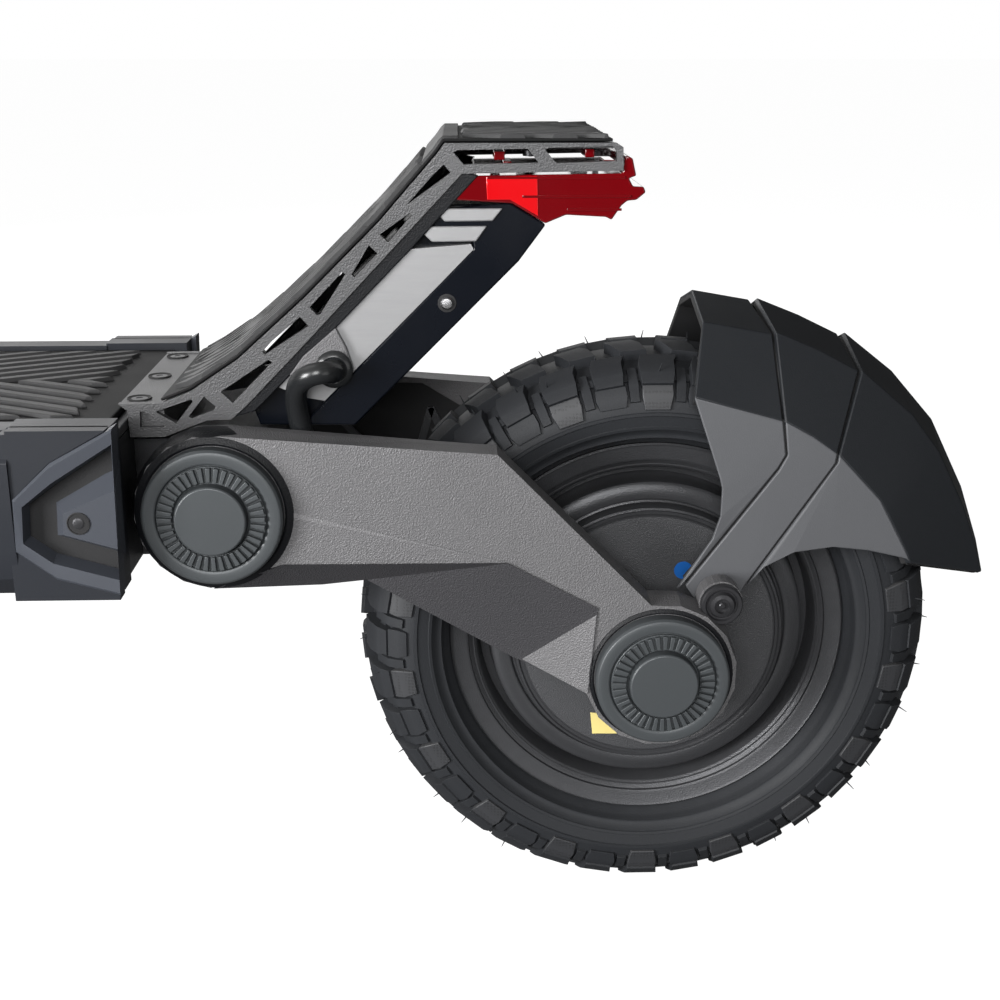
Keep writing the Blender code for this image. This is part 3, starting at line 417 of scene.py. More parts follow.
@dataclass
class NodeGroups:
    """Shader node groups that several finishes use, each built once."""

    made: dict[str, bpy.types.NodeTree] = field(default_factory=dict)

    def start(self, name: str, inputs: dict[str, float], outputs: Sequence[str]) -> bpy.types.NodeTree:
        """An empty group with float inputs and outputs."""
        tree = bpy.data.node_groups.new(name, "ShaderNodeTree")
        for label, value in inputs.items():
            socket = tree.interface.new_socket(label, in_out="INPUT", socket_type="NodeSocketFloat")
            socket.default_value = value
        for label in outputs:
            tree.interface.new_socket(label, in_out="OUTPUT", socket_type="NodeSocketFloat")
        tree.nodes.new("NodeGroupInput")
        tree.nodes.new("NodeGroupOutput")
        self.made[name] = tree
        return tree

    @staticmethod
    def maths(tree: bpy.types.NodeTree, operation: str, a: object, b: object = 0.0) -> bpy.types.NodeSocket:
        """A Math node fed by sockets or numbers."""
        made = tree.nodes.new("ShaderNodeMath")
        made.operation = operation
        for socket, value in zip(made.inputs, (a, b)):
            if isinstance(value, bpy.types.NodeSocket):
                tree.links.new(value, socket)
            else:
                socket.default_value = float(value)
        return made.outputs[0]

    @staticmethod
    def place(tree: bpy.types.NodeTree, stretch: Triple = (1, 1, 1)) -> bpy.types.NodeSocket:
        """The piece's own coordinates, stretched."""
        source = tree.nodes.new("ShaderNodeTexCoord")
        mapping = tree.nodes.new("ShaderNodeMapping")
        mapping.inputs["Scale"].default_value = stretch
        tree.links.new(source.outputs["Object"], mapping.inputs["Vector"])
        return mapping.outputs["Vector"]

    @staticmethod
    def noise(tree: bpy.types.NodeTree, where: bpy.types.NodeSocket, scale: object,
              detail: float = 3.0) -> bpy.types.NodeSocket:
        """A noise texture's value."""
        made = tree.nodes.new("ShaderNodeTexNoise")
        made.inputs["Detail"].default_value = detail
        tree.links.new(where, made.inputs["Vector"])
        if isinstance(scale, bpy.types.NodeSocket):
            tree.links.new(scale, made.inputs["Scale"])
        else:
            made.inputs["Scale"].default_value = float(scale)
        return made.outputs["Fac"]

    @staticmethod
    def cells(tree: bpy.types.NodeTree, where: bpy.types.NodeSocket, scale: bpy.types.NodeSocket,
              randomness: float) -> bpy.types.NodeSocket:
        """How far each point is from the middle of its cell."""
        made = tree.nodes.new("ShaderNodeTexVoronoi")
        made.inputs["Randomness"].default_value = randomness
        tree.links.new(where, made.inputs["Vector"])
        tree.links.new(scale, made.inputs["Scale"])
        return made.outputs["Distance"]

    def grain(self, kind: Grain) -> bpy.types.NodeTree:
        """The group for one kind of surface: it puts out Tone, Gloss and Height.

        Args:
            kind: the kind of surface.

        Returns:
            The group, built at its first use.
        """
        name = f"{kind.value}_grain"
        if name in self.made:
            return self.made[name]
        tree = self.start(name, {"Scale": 900.0}, ("Tone", "Gloss", "Height"))
        given = tree.nodes["Group Input"].outputs["Scale"]
        result = tree.nodes["Group Output"].inputs
        stretch = (1.0, 14.0, 14.0) if kind is Grain.BRUSHED else (1.0, 1.0, 1.0)
        where = self.place(tree, stretch)
        fine = self.noise(tree, where, given, 4.0)
        broad = self.noise(tree, where, BROAD_SCALE, 5.0)
        tone = self.maths(tree, "MULTIPLY_ADD", broad, 1.7)
        tree.nodes[-1].inputs[2].default_value = -0.35
        mixed = self.maths(tree, "ADD", self.maths(tree, "MULTIPLY", tone, BROAD_SHARE),
                           self.maths(tree, "MULTIPLY", fine, FINE_SHARE))
        height = fine
        if kind is Grain.CAST:
            height = self.maths(tree, "ADD", fine, self.cells(tree, where, given, 1.0))
        elif kind is Grain.DOTTED:
            height = mixed = self.maths(tree, "LESS_THAN", self.cells(tree, where, given, 0.0), DOT_RADIUS)
        tree.links.new(mixed, result["Tone"])
        tree.links.new(self.maths(tree, "SUBTRACT", broad, 0.5), result["Gloss"])
        tree.links.new(height, result["Height"])
        return tree

    def dust(self) -> bpy.types.NodeTree:
        """The group for dust on faces that look up: it puts out Film."""
        if "dust_film" in self.made:
            return self.made["dust_film"]
        tree = self.start("dust_film", {"Amount": 0.1}, ("Film",))
        amount = tree.nodes["Group Input"].outputs["Amount"]
        facing = tree.nodes.new("ShaderNodeNewGeometry")
        split = tree.nodes.new("ShaderNodeSeparateXYZ")
        tree.links.new(facing.outputs["Normal"], split.inputs[0])
        upward = self.maths(tree, "MAXIMUM", split.outputs["Z"], 0.0)
        patches = self.noise(tree, self.place(tree), 60.0, 6.0)
        film = self.maths(tree, "MULTIPLY", self.maths(tree, "MULTIPLY", upward, patches), amount)
        tree.links.new(film, tree.nodes["Group Output"].inputs["Film"])
        return tree

    def worn_edges(self) -> bpy.types.NodeTree:
        """The group for rubbed edges: it puts out Worn."""
        if "worn_edges" in self.made:
            return self.made["worn_edges"]
        tree = self.start("worn_edges", {"Amount": 0.3}, ("Worn",))
        amount = tree.nodes["Group Input"].outputs["Amount"]
        facing = tree.nodes.new("ShaderNodeNewGeometry")
        match = tree.nodes.new("ShaderNodeVectorMath")
        match.operation = "DOT_PRODUCT"
        tree.links.new(facing.outputs["Normal"], match.inputs[0])
        tree.links.new(facing.outputs["True Normal"], match.inputs[1])
        sharp = self.maths(tree, "MULTIPLY", self.maths(tree, "SUBTRACT", 0.9995, match.outputs["Value"]), 30.0)
        tree.nodes[-1].use_clamp = True
        broken = self.maths(tree, "MULTIPLY", sharp, self.noise(tree, self.place(tree), 160.0, 4.0))
        tree.links.new(self.maths(tree, "MULTIPLY", broken, amount), tree.nodes["Group Output"].inputs["Worn"])
        return tree


@dataclass
class PaintShop:
    """Makes each finish's material once."""

    groups: NodeGroups = field(default_factory=NodeGroups)
    made: dict[str, bpy.types.Material] = field(default_factory=dict)

    def use(self, tree: bpy.types.NodeTree, group: bpy.types.NodeTree, **values: float) -> bpy.types.Node:
        """A group placed in a material with its own values."""
        placed = tree.nodes.new("ShaderNodeGroup")
        placed.node_tree = group
        for label, value in values.items():
            placed.inputs[label].default_value = value
        return placed

    def mix(self, finish: Finish) -> bpy.types.Material:
        """The material of a finish.

        Args:
            finish: how the material looks.

        Returns:
            The material, made at its first use.
        """
        if finish.name in self.made:
            return self.made[finish.name]
        paint = bpy.data.materials.new(finish.name)
        paint.use_nodes = True
        tree = paint.node_tree
        shader = tree.nodes["Principled BSDF"]
        for label, value in (("Metallic", finish.metallic), ("Coat Weight", finish.coat),
                             ("Coat Roughness", COAT_ROUGHNESS),
                             ("Specular IOR Level", finish.specular)):
            shader.inputs[label].default_value = value
        grain = self.use(tree, self.groups.grain(finish.grain), Scale=finish.scale)
        dust = self.use(tree, self.groups.dust(), Amount=finish.dust)
        worn = self.use(tree, self.groups.worn_edges(), Amount=WEAR_SHARE)
        share = self.groups.maths(tree, "MULTIPLY", grain.outputs["Tone"], finish.blotch)
        tree.nodes[-1].use_clamp = True
        tone = self.blend(tree, share, finish.colour, finish.shade)
        lighter = tuple(min(1.0, c * 1.5 + 0.008) for c in finish.colour)
        tone = self.blend(tree, worn.outputs["Worn"], tone, lighter)
        tone = self.blend(tree, dust.outputs["Film"], tone, DUST_COLOUR)
        tree.links.new(tone, shader.inputs["Base Color"])
        spread = self.groups.maths(tree, "MULTIPLY", grain.outputs["Gloss"], GLOSS_SPREAD)
        rough = self.groups.maths(tree, "ADD", spread, finish.roughness)
        dusty = self.groups.maths(tree, "ADD", rough, dust.outputs["Film"])
        tree.nodes[-1].use_clamp = True
        tree.links.new(dusty, shader.inputs["Roughness"])
        bump = tree.nodes.new("ShaderNodeBump")
        bump.inputs["Strength"].default_value = finish.relief
        bump.inputs["Distance"].default_value = DOT_DEPTH if finish.grain is Grain.DOTTED else BUMP_DEPTH
        tree.links.new(grain.outputs["Height"], bump.inputs["Height"])
        tree.links.new(bump.outputs["Normal"], shader.inputs["Normal"])
        if finish.glow:
            shader.inputs["Emission Color"].default_value = (*finish.glow, 1.0)
            shader.inputs["Emission Strength"].default_value = GLOW_STRENGTH
        self.made[finish.name] = paint
        return paint

    @staticmethod
    def blend(tree: bpy.types.NodeTree, share: bpy.types.NodeSocket, first: object,
              second: object) -> bpy.types.NodeSocket:
        """A colour mixed from two colours or sockets."""
        mixer = tree.nodes.new("ShaderNodeMix")
        mixer.data_type = "RGBA"
        tree.links.new(share, mixer.inputs["Factor"])
        colours = [socket for socket in mixer.inputs if socket.type == "RGBA"]
        for socket, value in zip(colours, (first, second)):
            if isinstance(value, bpy.types.NodeSocket):
                tree.links.new(value, socket)
            else:
                socket.default_value = (*value, 1.0)
        return next(socket for socket in mixer.outputs if socket.type == "RGBA")


PAINT = PaintShop()
WELD_DISTANCE = 2e-5


@dataclass(frozen=True)
class Edge:
    """How the edges of a piece are rounded.

    Args:
        width: the width of the rounding in metres.
        segments: how many facets it has.
        angle: the least angle, in degrees, of an edge that is rounded.
    """

    width: float
    segments: int = 2
    angle: float = 28.0

    def apply(self, piece: bpy.types.Object) -> None:
        """Adds the rounding to a piece."""
        step = piece.modifiers.new("edge", "BEVEL")
        step.width, step.segments = self.width, self.segments
        step.limit_method, step.angle_limit = "ANGLE", math.radians(self.angle)
        step.miter_outer = "MITER_ARC"
        step.use_clamp_overlap = True
        even = piece.modifiers.new("even", "WEIGHTED_NORMAL")
        even.keep_sharp = True


def make(name: str, bm: bmesh.types.BMesh, finish: Finish) -> bpy.types.Object:
    """A smoothly shaded piece in its finish, put in the scene; its mesh is used up."""
    mesh = bpy.data.meshes.new(name)
    bm.to_mesh(mesh)
    bm.free()
    mesh.shade_smooth()
    mesh.materials.append(PAINT.mix(finish))
    piece = bpy.data.objects.new(name, mesh)
    bpy.context.scene.collection.objects.link(piece)
    return piece


def add(name: str, bm: bmesh.types.BMesh, finish: Finish, body: str, replaces: Sequence[str] = (),
        edge: Edge | None = None, sharp: float = 32.0) -> bpy.types.Object:
    """Makes a piece that rides on a body.

    Args:
        name: the piece's name.
        bm: its mesh, which is used up.
        finish: its finish.
        body: the body that it rides on.
        replaces: the CAD nodes that it stands for.
        edge: how its edges are rounded.
        sharp: the angle above which an edge stays sharp, in degrees.

    Returns:
        The piece.
    """
    bm.normal_update()
    piece = make(name, bm, finish)
    piece.data.set_sharp_from_angle(angle=math.radians(sharp))
    if edge:
        edge.apply(piece)
    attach(piece, body)
    if replaces:
        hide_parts(*replaces)
    LOG.info("%s rides on %s", name, body)
    return piece


def dress(node: str, finish: Finish, edge: Edge | None = None) -> bpy.types.Object:
    """Gives a CAD node its finish and softened edges."""
    piece = frame["nodes"][node]
    piece.data.materials.clear()
    piece.data.materials.append(PAINT.mix(finish))
    weld = piece.modifiers.new("weld", "WELD")
    weld.merge_threshold = WELD_DISTANCE
    if edge:
        edge.apply(piece)
    LOG.info("%s dressed in %s", node, finish.name)
    return piece


# ---------------------------------------------------------------- studio


@dataclass(frozen=True)
class SoftLight:
    """A square area light.

    Args:
        name: what it is called.
        place: where it stands, in metres.
        size: the length of its side, in metres.
        power: its power, in watts.
    """

    name: str
    place: Triple
    size: float
    power: float


@dataclass
class Studio:
    """The pale floor, the soft lights and the camera."""

    eye: Triple = (-0.39927, 0.62153, 0.39069)
    pitch: float = 0.31138
    yaw: float = -0.02966
    lens: float = 50.42
    lamps: tuple[SoftLight, ...] = (
        SoftLight("key", (1.15, 1.25, 0.50), 0.8, 58.0), SoftLight("front", (-0.15, 1.65, 0.85), 0.7, 22.0),
        SoftLight("fill", (-1.30, 1.20, 0.30), 0.8, 2.5), SoftLight("top", (0.50, -0.30, 1.60), 1.0, 3.0),
        SoftLight("back", (-0.20, -2.00, 1.00), 1.5, 8.0), SoftLight("other_side", (1.10, -1.80, 1.10), 1.2, 20.0))

    def build(self) -> None:
        """Makes the floor, world, lights and camera."""
        bpy.context.scene.view_settings.view_transform = "Standard"
        self.floor()
        self.world()
        for lamp in self.lamps:
            self.light(lamp)
        self.camera()

    @staticmethod
    def seen_by_camera(tree: bpy.types.NodeTree, seen: float, unseen: float) -> bpy.types.NodeSocket:
        """A value for what the camera sees itself, and another for light that bounces."""
        path = tree.nodes.new("ShaderNodeLightPath")
        choice = tree.nodes.new("ShaderNodeMapRange")
        choice.inputs["To Min"].default_value, choice.inputs["To Max"].default_value = unseen, seen
        tree.links.new(path.outputs["Is Camera Ray"], choice.inputs["Value"])
        return choice.outputs["Result"]

    def floor(self) -> None:
        """A wide plain floor, nearly as bright as the sky behind it."""
        floor = bpy.data.objects.new("floor", bpy.data.meshes.new("floor"))
        bm = bmesh.new()
        bmesh.ops.create_grid(bm, x_segments=1, y_segments=1, size=60)
        bm.to_mesh(floor.data)
        bm.free()
        paint = bpy.data.materials.new("pale_floor")
        paint.use_nodes = True
        shader = paint.node_tree.nodes["Principled BSDF"]
        shader.inputs["Base Color"].default_value = (0.20, 0.20, 0.20, 1)
        shader.inputs["Roughness"].default_value = 0.9
        shader.inputs["Specular IOR Level"].default_value = 0.1
        shader.inputs["Emission Color"].default_value = (1, 1, 1, 1)
        paint.node_tree.links.new(self.seen_by_camera(paint.node_tree, 0.97, 0.0),
                                  shader.inputs["Emission Strength"])
        floor.data.materials.append(paint)
        bpy.context.scene.collection.objects.link(floor)

    def world(self) -> None:
        """A sky that is white to the camera and dim to the scooter."""
        world = bpy.data.worlds.new("studio")
        world.use_nodes = True
        sky = world.node_tree.nodes["Background"]
        sky.inputs["Color"].default_value = (1.0, 1.0, 1.0, 1.0)
        world.node_tree.links.new(self.seen_by_camera(world.node_tree, 1.0, 0.07), sky.inputs["Strength"])
        bpy.context.scene.world = world

    def light(self, soft: SoftLight) -> None:
        """Puts a light in the scene, turned to the rear wheel."""
        data = bpy.data.lights.new(soft.name, "AREA")
        data.size, data.energy = soft.size, soft.power
        lamp = bpy.data.objects.new(soft.name, data)
        lamp.location = soft.place
        aim = Vector((REAR_AXLE.x + 0.1, 0, 0.2)) - Vector(soft.place)
        lamp.rotation_euler = aim.to_track_quat("-Z", "Y").to_euler()
        bpy.context.scene.collection.objects.link(lamp)

    def camera(self) -> None:
        """The camera, close to the rear wheel on the rider's left."""
        data = bpy.data.cameras.new("camera")
        data.lens, data.sensor_width, data.sensor_fit = self.lens, 36.0, "HORIZONTAL"
        data.clip_start = 0.02
        camera = bpy.data.objects.new("camera", data)
        turn = Matrix.Rotation(math.pi + self.yaw, 4, "Z") @ Matrix.Rotation(math.pi / 2 - self.pitch, 4, "X")
        camera.matrix_world = Matrix.Translation(self.eye) @ turn
        bpy.context.scene.collection.objects.link(camera)
        bpy.context.scene.camera = camera


# ---------------------------------------------------------------- wheels


@dataclass
class Tyre:
    """Off-road tyre: a round carcass with shoulder lugs, centre blocks and moulding hairs."""

    end: End
    pitches: int = 36
    crown: tuple[Pair, ...] = (
        (0.1286, 0.0000), (0.1283, 0.0080), (0.1262, 0.0165), (0.1222, 0.0250), (0.1170, 0.0315), (0.1115, 0.0346),
        (0.1078, 0.0352), (0.1074, 0.0358), (0.1062, 0.0358), (0.1058, 0.0351), (0.1012, 0.0340), (0.1008, 0.0344),
        (0.0996, 0.0340), (0.0992, 0.0331), (0.0962, 0.0308), (0.0952, 0.0308), (0.0944, 0.0292), (0.0935, 0.0272),
        (0.0919, 0.0256))

    def on_crown(self, s: float, lift: float) -> Pair:
        """The (radius, y) of a point at a distance along the half section from its middle, lifted off it."""
        for (r0, y0), (r1, y1) in zip(self.crown, self.crown[1:]):
            length = math.hypot(r1 - r0, y1 - y0)
            if s <= length or (r1, y1) == self.crown[-1]:
                t = s / length
                lean = ((y1 - y0) / length, (r0 - r1) / length)
                return r0 + (r1 - r0) * t + lift * lean[0], y0 + (y1 - y0) * t + lift * lean[1]
            s -= length
        raise ValueError("the section is too short")

    def block(self, stations: Sequence[tuple[float, float, float, float]], turn: float,
              side: int) -> bmesh.types.BMesh:
        """A raised rubber block.

        Args:
            stations: distance along the section, start and end angle in degrees, and height, for each section.
            turn: where the block is round the wheel, in degrees.
            side: +1 on the left and -1 on the right.

        Returns:
            The block, about the wheel's own middle.
        """
        rings = []
        for s, start, stop, rise in stations:
            ring = []
            for angle, lift in ((start - 0.25, -0.0012), (start, rise), (stop, rise), (stop + 0.25, -0.0012)):
                r, y = self.on_crown(s, lift)
                t = math.radians(turn + angle)
                ring.append((r * math.cos(t), side * y, r * math.sin(t)))
            rings.append(ring)
        return loft(rings)

    def carcass(self) -> bmesh.types.BMesh:
        """The smooth body of the tyre under the tread."""
        outside = list(self.crown[::-1]) + [(r, -y) for r, y in self.crown[1:]]
        inside = [(0.0905, -0.0208), (0.0812, -0.0208), (0.0812, -0.0130), (0.1050, -0.0280), (0.1180, -0.0180),
                  (0.1180, 0.0180), (0.1050, 0.0280), (0.0812, 0.0130), (0.0812, 0.0208), (0.0905, 0.0208)]
        return across(turned(outside + inside, 180), 0, 0, -1)

    def tread(self) -> tuple[list[bmesh.types.BMesh], list[bmesh.types.BMesh]]:
        """The plain blocks and the dotted ones."""
        plain, dotted = [], []
        pitch = 360 / self.pitches
        for i in range(self.pitches):
            turn = i * pitch
            for side in (1, -1):
                odd = i % 2
                skew = 0.7 if side > 0 else -0.7
                plain.append(self.block([(0.0016, -3.3 - skew, 1.9 - skew, 0.0048), (0.0075, -3.1, 2.6, 0.0049),
                                         (0.0145, -2.2 + skew, 2.9 + skew, 0.0048)], turn + pitch / 2, side))
                wide = 3.5 if odd else 3.1
                plain.append(self.block([(0.0175, -wide + skew, wide + skew, 0.0047), (0.0225, -wide, wide, 0.0050),
                                         (0.0285, -wide, wide, 0.0050), (0.0335, -wide + 0.3, wide - 0.3, 0.0036)],
                                        turn, side))
                low = 0.0435 if odd else 0.0415
                side_block = [(0.0338, -3.2, 3.2, 0.0028), (0.0375, -3.4, 3.4, 0.0024), (low, -2.9, 2.9, 0.0012)]
                (dotted if odd else plain).append(self.block(side_block, turn, side))
                plain.append(self.block([(0.0235, -0.9, 0.9, 0.0022), (0.0330, -1.0, 1.0, 0.0024),
                                         (0.0400, -1.0, 1.0, 0.0016)], turn + pitch / 2, side))
                plain.append(self.block([(0.0262, 3.0, 6.8, 0.0012), (0.0300, 3.0, 6.8, 0.0013)], turn, side))
        return plain, dotted

    def hairs(self) -> list[bmesh.types.BMesh]:
        """Thin moulding hairs that stand out of the shoulder blocks."""
        draw = random.Random(7)
        made = []
        for i in range(self.pitches):
            for side in (1, -1):
                turn = math.radians(i * 360 / self.pitches + draw.uniform(-2.6, 2.6))
                if math.sin(turn) < -0.93:
                    continue
                r, y = self.on_crown(draw.uniform(0.016, 0.030), 0.0040)
                out = draw.uniform(0.0028, 0.0052)
                lean = draw.uniform(-0.3, 0.3)
                start = Vector((r * math.cos(turn), side * y, r * math.sin(turn)))
                away = Vector((math.cos(turn + lean), side * draw.uniform(0.2, 0.7),
                               math.sin(turn + lean))).normalized()
                made.append(hose([start, start + away * out * 0.5, start + away * out],
                                 lambda share: 0.00042 * (1 - 0.6 * share), 5))
        return made

    def build(self, body: str) -> None:
        """Makes the tyre's two pieces."""
        shift = Matrix.Translation(self.end.axle)
        plain, dotted = self.tread()
        blocks = merged(plain + self.hairs())
        blocks.transform(shift)
        carcass = self.carcass()
        carcass.transform(shift)
        patches = merged(dotted)
        patches.transform(shift)
        name = self.end.name
        add(f"{name}_tyre_carcass", carcass, Finishes.TYRE, body, [f"{name}_tyre"], sharp=40)
        add(f"{name}_tyre_blocks", blocks, Finishes.TYRE, body, (), Edge(0.0005, 2, 30))
        add(f"{name}_tyre_dotted_blocks", patches, Finishes.TYRE_DOTS, body, (), Edge(0.0004, 2, 30))


@dataclass
class Wheel:
    """Rim, covers and disc of one wheel."""

    end: End
    motor: bool
    flange: tuple[Pair, ...] = (
        (0.0740, 0.0092), (0.0776, 0.0092), (0.0782, 0.0110), (0.0788, 0.0198), (0.0794, 0.0206), (0.0826, 0.0222),
        (0.0829, 0.0234), (0.0840, 0.0240), (0.0893, 0.0243), (0.0902, 0.0249), (0.0910, 0.0243), (0.0910, 0.0216),
        (0.0802, 0.0213), (0.0800, 0.0050))

    def body(self) -> str:
        """The body that the wheel's pieces ride on."""
        return f"{self.end.name}_wheel"

    def cover(self) -> list[Pair]:
        """The profile of a motor cover, from its bore outwards."""
        return [(0.0084, 0.0284), (0.0300, 0.0284), (0.0306, 0.0279), (0.0318, 0.0279), (0.0324, 0.0284),
                (0.0584, 0.0284), (0.0590, 0.0277), (0.0602, 0.0277), (0.0608, 0.0283), (0.0618, 0.0281),
                (0.0624, 0.0262), (0.0630, 0.0228), (0.0638, 0.0224), (0.0644, 0.0234), (0.0654, 0.0238),
                (0.0708, 0.0230), (0.0722, 0.0218), (0.0728, 0.0190), (0.0734, 0.0100)]

    def rim(self) -> bmesh.types.BMesh:
        """The rim with its left cover, or with its web and hub."""
        mirror = [(r, -y) for r, y in reversed(self.flange)]
        if self.motor:
            inner = [(0.0660, -0.0235), (0.0585, -0.0235), (0.0585, 0.0235), (0.0084, 0.0235)]
            profile = self.cover() + list(self.flange) + mirror + inner
        else:
            left = [(0.0084, 0.0284), (0.0210, 0.0284), (0.0230, 0.0268), (0.0250, 0.0100), (0.0290, 0.0070),
                    (0.0640, 0.0060), (0.0700, 0.0080)]
            profile = left + list(self.flange) + mirror + [(r, -y) for r, y in reversed(left)]
        return self.end.turned(profile, 160)

    def spokes(self) -> bmesh.types.BMesh:
        """Raised ribs on the web of the plain wheel."""
        ribs = []
        for i in range(10):
            for side in (1, -1):
                rib = frustum([(0.024, -0.0060, 0.0060), (0.070, -0.0090, 0.0060), (0.070, 0.0090, 0.0060),
                               (0.024, 0.0060, 0.0060)],
                              [(0.024, -0.0040, 0.0160), (0.068, -0.0060, 0.0110), (0.068, 0.0060, 0.0110),
                               (0.024, 0.0040, 0.0160)])
                rib.transform(Matrix.Rotation(math.tau * i / 10, 4, "Z"))
                ribs.append(across(rib, self.end.axle.x, self.end.axle.z, side))
        return merged(ribs)

    def disc(self) -> bmesh.types.BMesh:
        """The drilled brake disc and the carrier that holds it."""
        outline = circle((0.0, 0.0), 0.0650, 90)
        holes = [circle((0.0, 0.0), 0.0300, 48)]
        for i in range(24):
            for k, radius in enumerate((0.0560, 0.0480)):
                t = math.tau * (i + 0.5 * k) / 24
                holes.append(circle((radius * math.cos(t), radius * math.sin(t)), 0.0024, 10))
        plate = pierced(outline, holes, -0.0422, -0.0400)
        plate.transform(Matrix.Translation(self.end.axle))
        carrier = self.end.turned([(0.0084, -0.0287), (0.0250, -0.0287), (0.0250, -0.0395), (0.0345, -0.0395),
                                   (0.0345, -0.0428), (0.0084, -0.0428)])
        return merged([plate, carrier])

    def build(self) -> None:
        """Makes the wheel's pieces."""
        name, body = self.end.name, self.body()
        Tyre(self.end).build(body)
        add(f"{name}_rim_turned", self.rim(), Finishes.RIM, body, [f"{name}_rim"], sharp=35)
        add(f"{name}_disc_drilled", self.disc(), Finishes.STEEL, body, [f"{name}_disc"], sharp=30)
        bolts = []
        for t in turns(5):
            for r, low, high in ((0.0032, 0.0428, 0.0440), (0.0022, 0.0440, 0.0450)):
                head = turned([(0, low), (r, low), (r, high - 0.0003), (r - 0.0003, high), (0, high)], 18)
                head.transform(Matrix.Translation((0.018 * math.cos(t), 0.018 * math.sin(t), 0)))
                bolts.append(across(head, self.end.axle.x, self.end.axle.z, -1))
        add(f"{name}_disc_bolts", merged(bolts), Finishes.BLACK_BOLT, body)
        if not self.motor:
            add(f"{name}_rim_ribs", self.spokes(), Finishes.RIM, body, (), Edge(0.0010))
            return
        right = [(0.0084, -0.0238), (0.0658, -0.0238), (0.0640, -0.0262), (0.0618, -0.0281), (0.0584, -0.0284),
                 (0.0084, -0.0284)]
        add(f"{name}_hub_cover_right", self.end.turned(right, 128), Finishes.HUB, body, [f"{name}_hub_cover"])
        face = [(0.0084, 0.02845), (0.0578, 0.02845), (0.0578, 0.02865), (0.0560, 0.0288), (0.0084, 0.0288)]
        add(f"{name}_hub_face", self.end.turned(face, 128), Finishes.HUB, body, ())
        dot = turned([(0, 0.0288), (0.0042, 0.0288), (0.0042, 0.0290), (0, 0.0290)], 32)
        dot.transform(Matrix.Translation((-0.0150, -0.0322, 0)))
        add("inspection_dot", across(dot, self.end.axle.x, self.end.axle.z), Finishes.DOT_BLUE, body)
        label = [(0.0259, -0.0385), (0.0146, -0.0397), (0.0106, -0.0496), (0.0248, -0.0494)]
        add("plain_label", self.end.slab(label, 0.0288, 0.0290, 1), Finishes.LABEL, body)
        dress("rear_stator", Finishes.COPPER)


# ---------------------------------------------------------------- swing arms


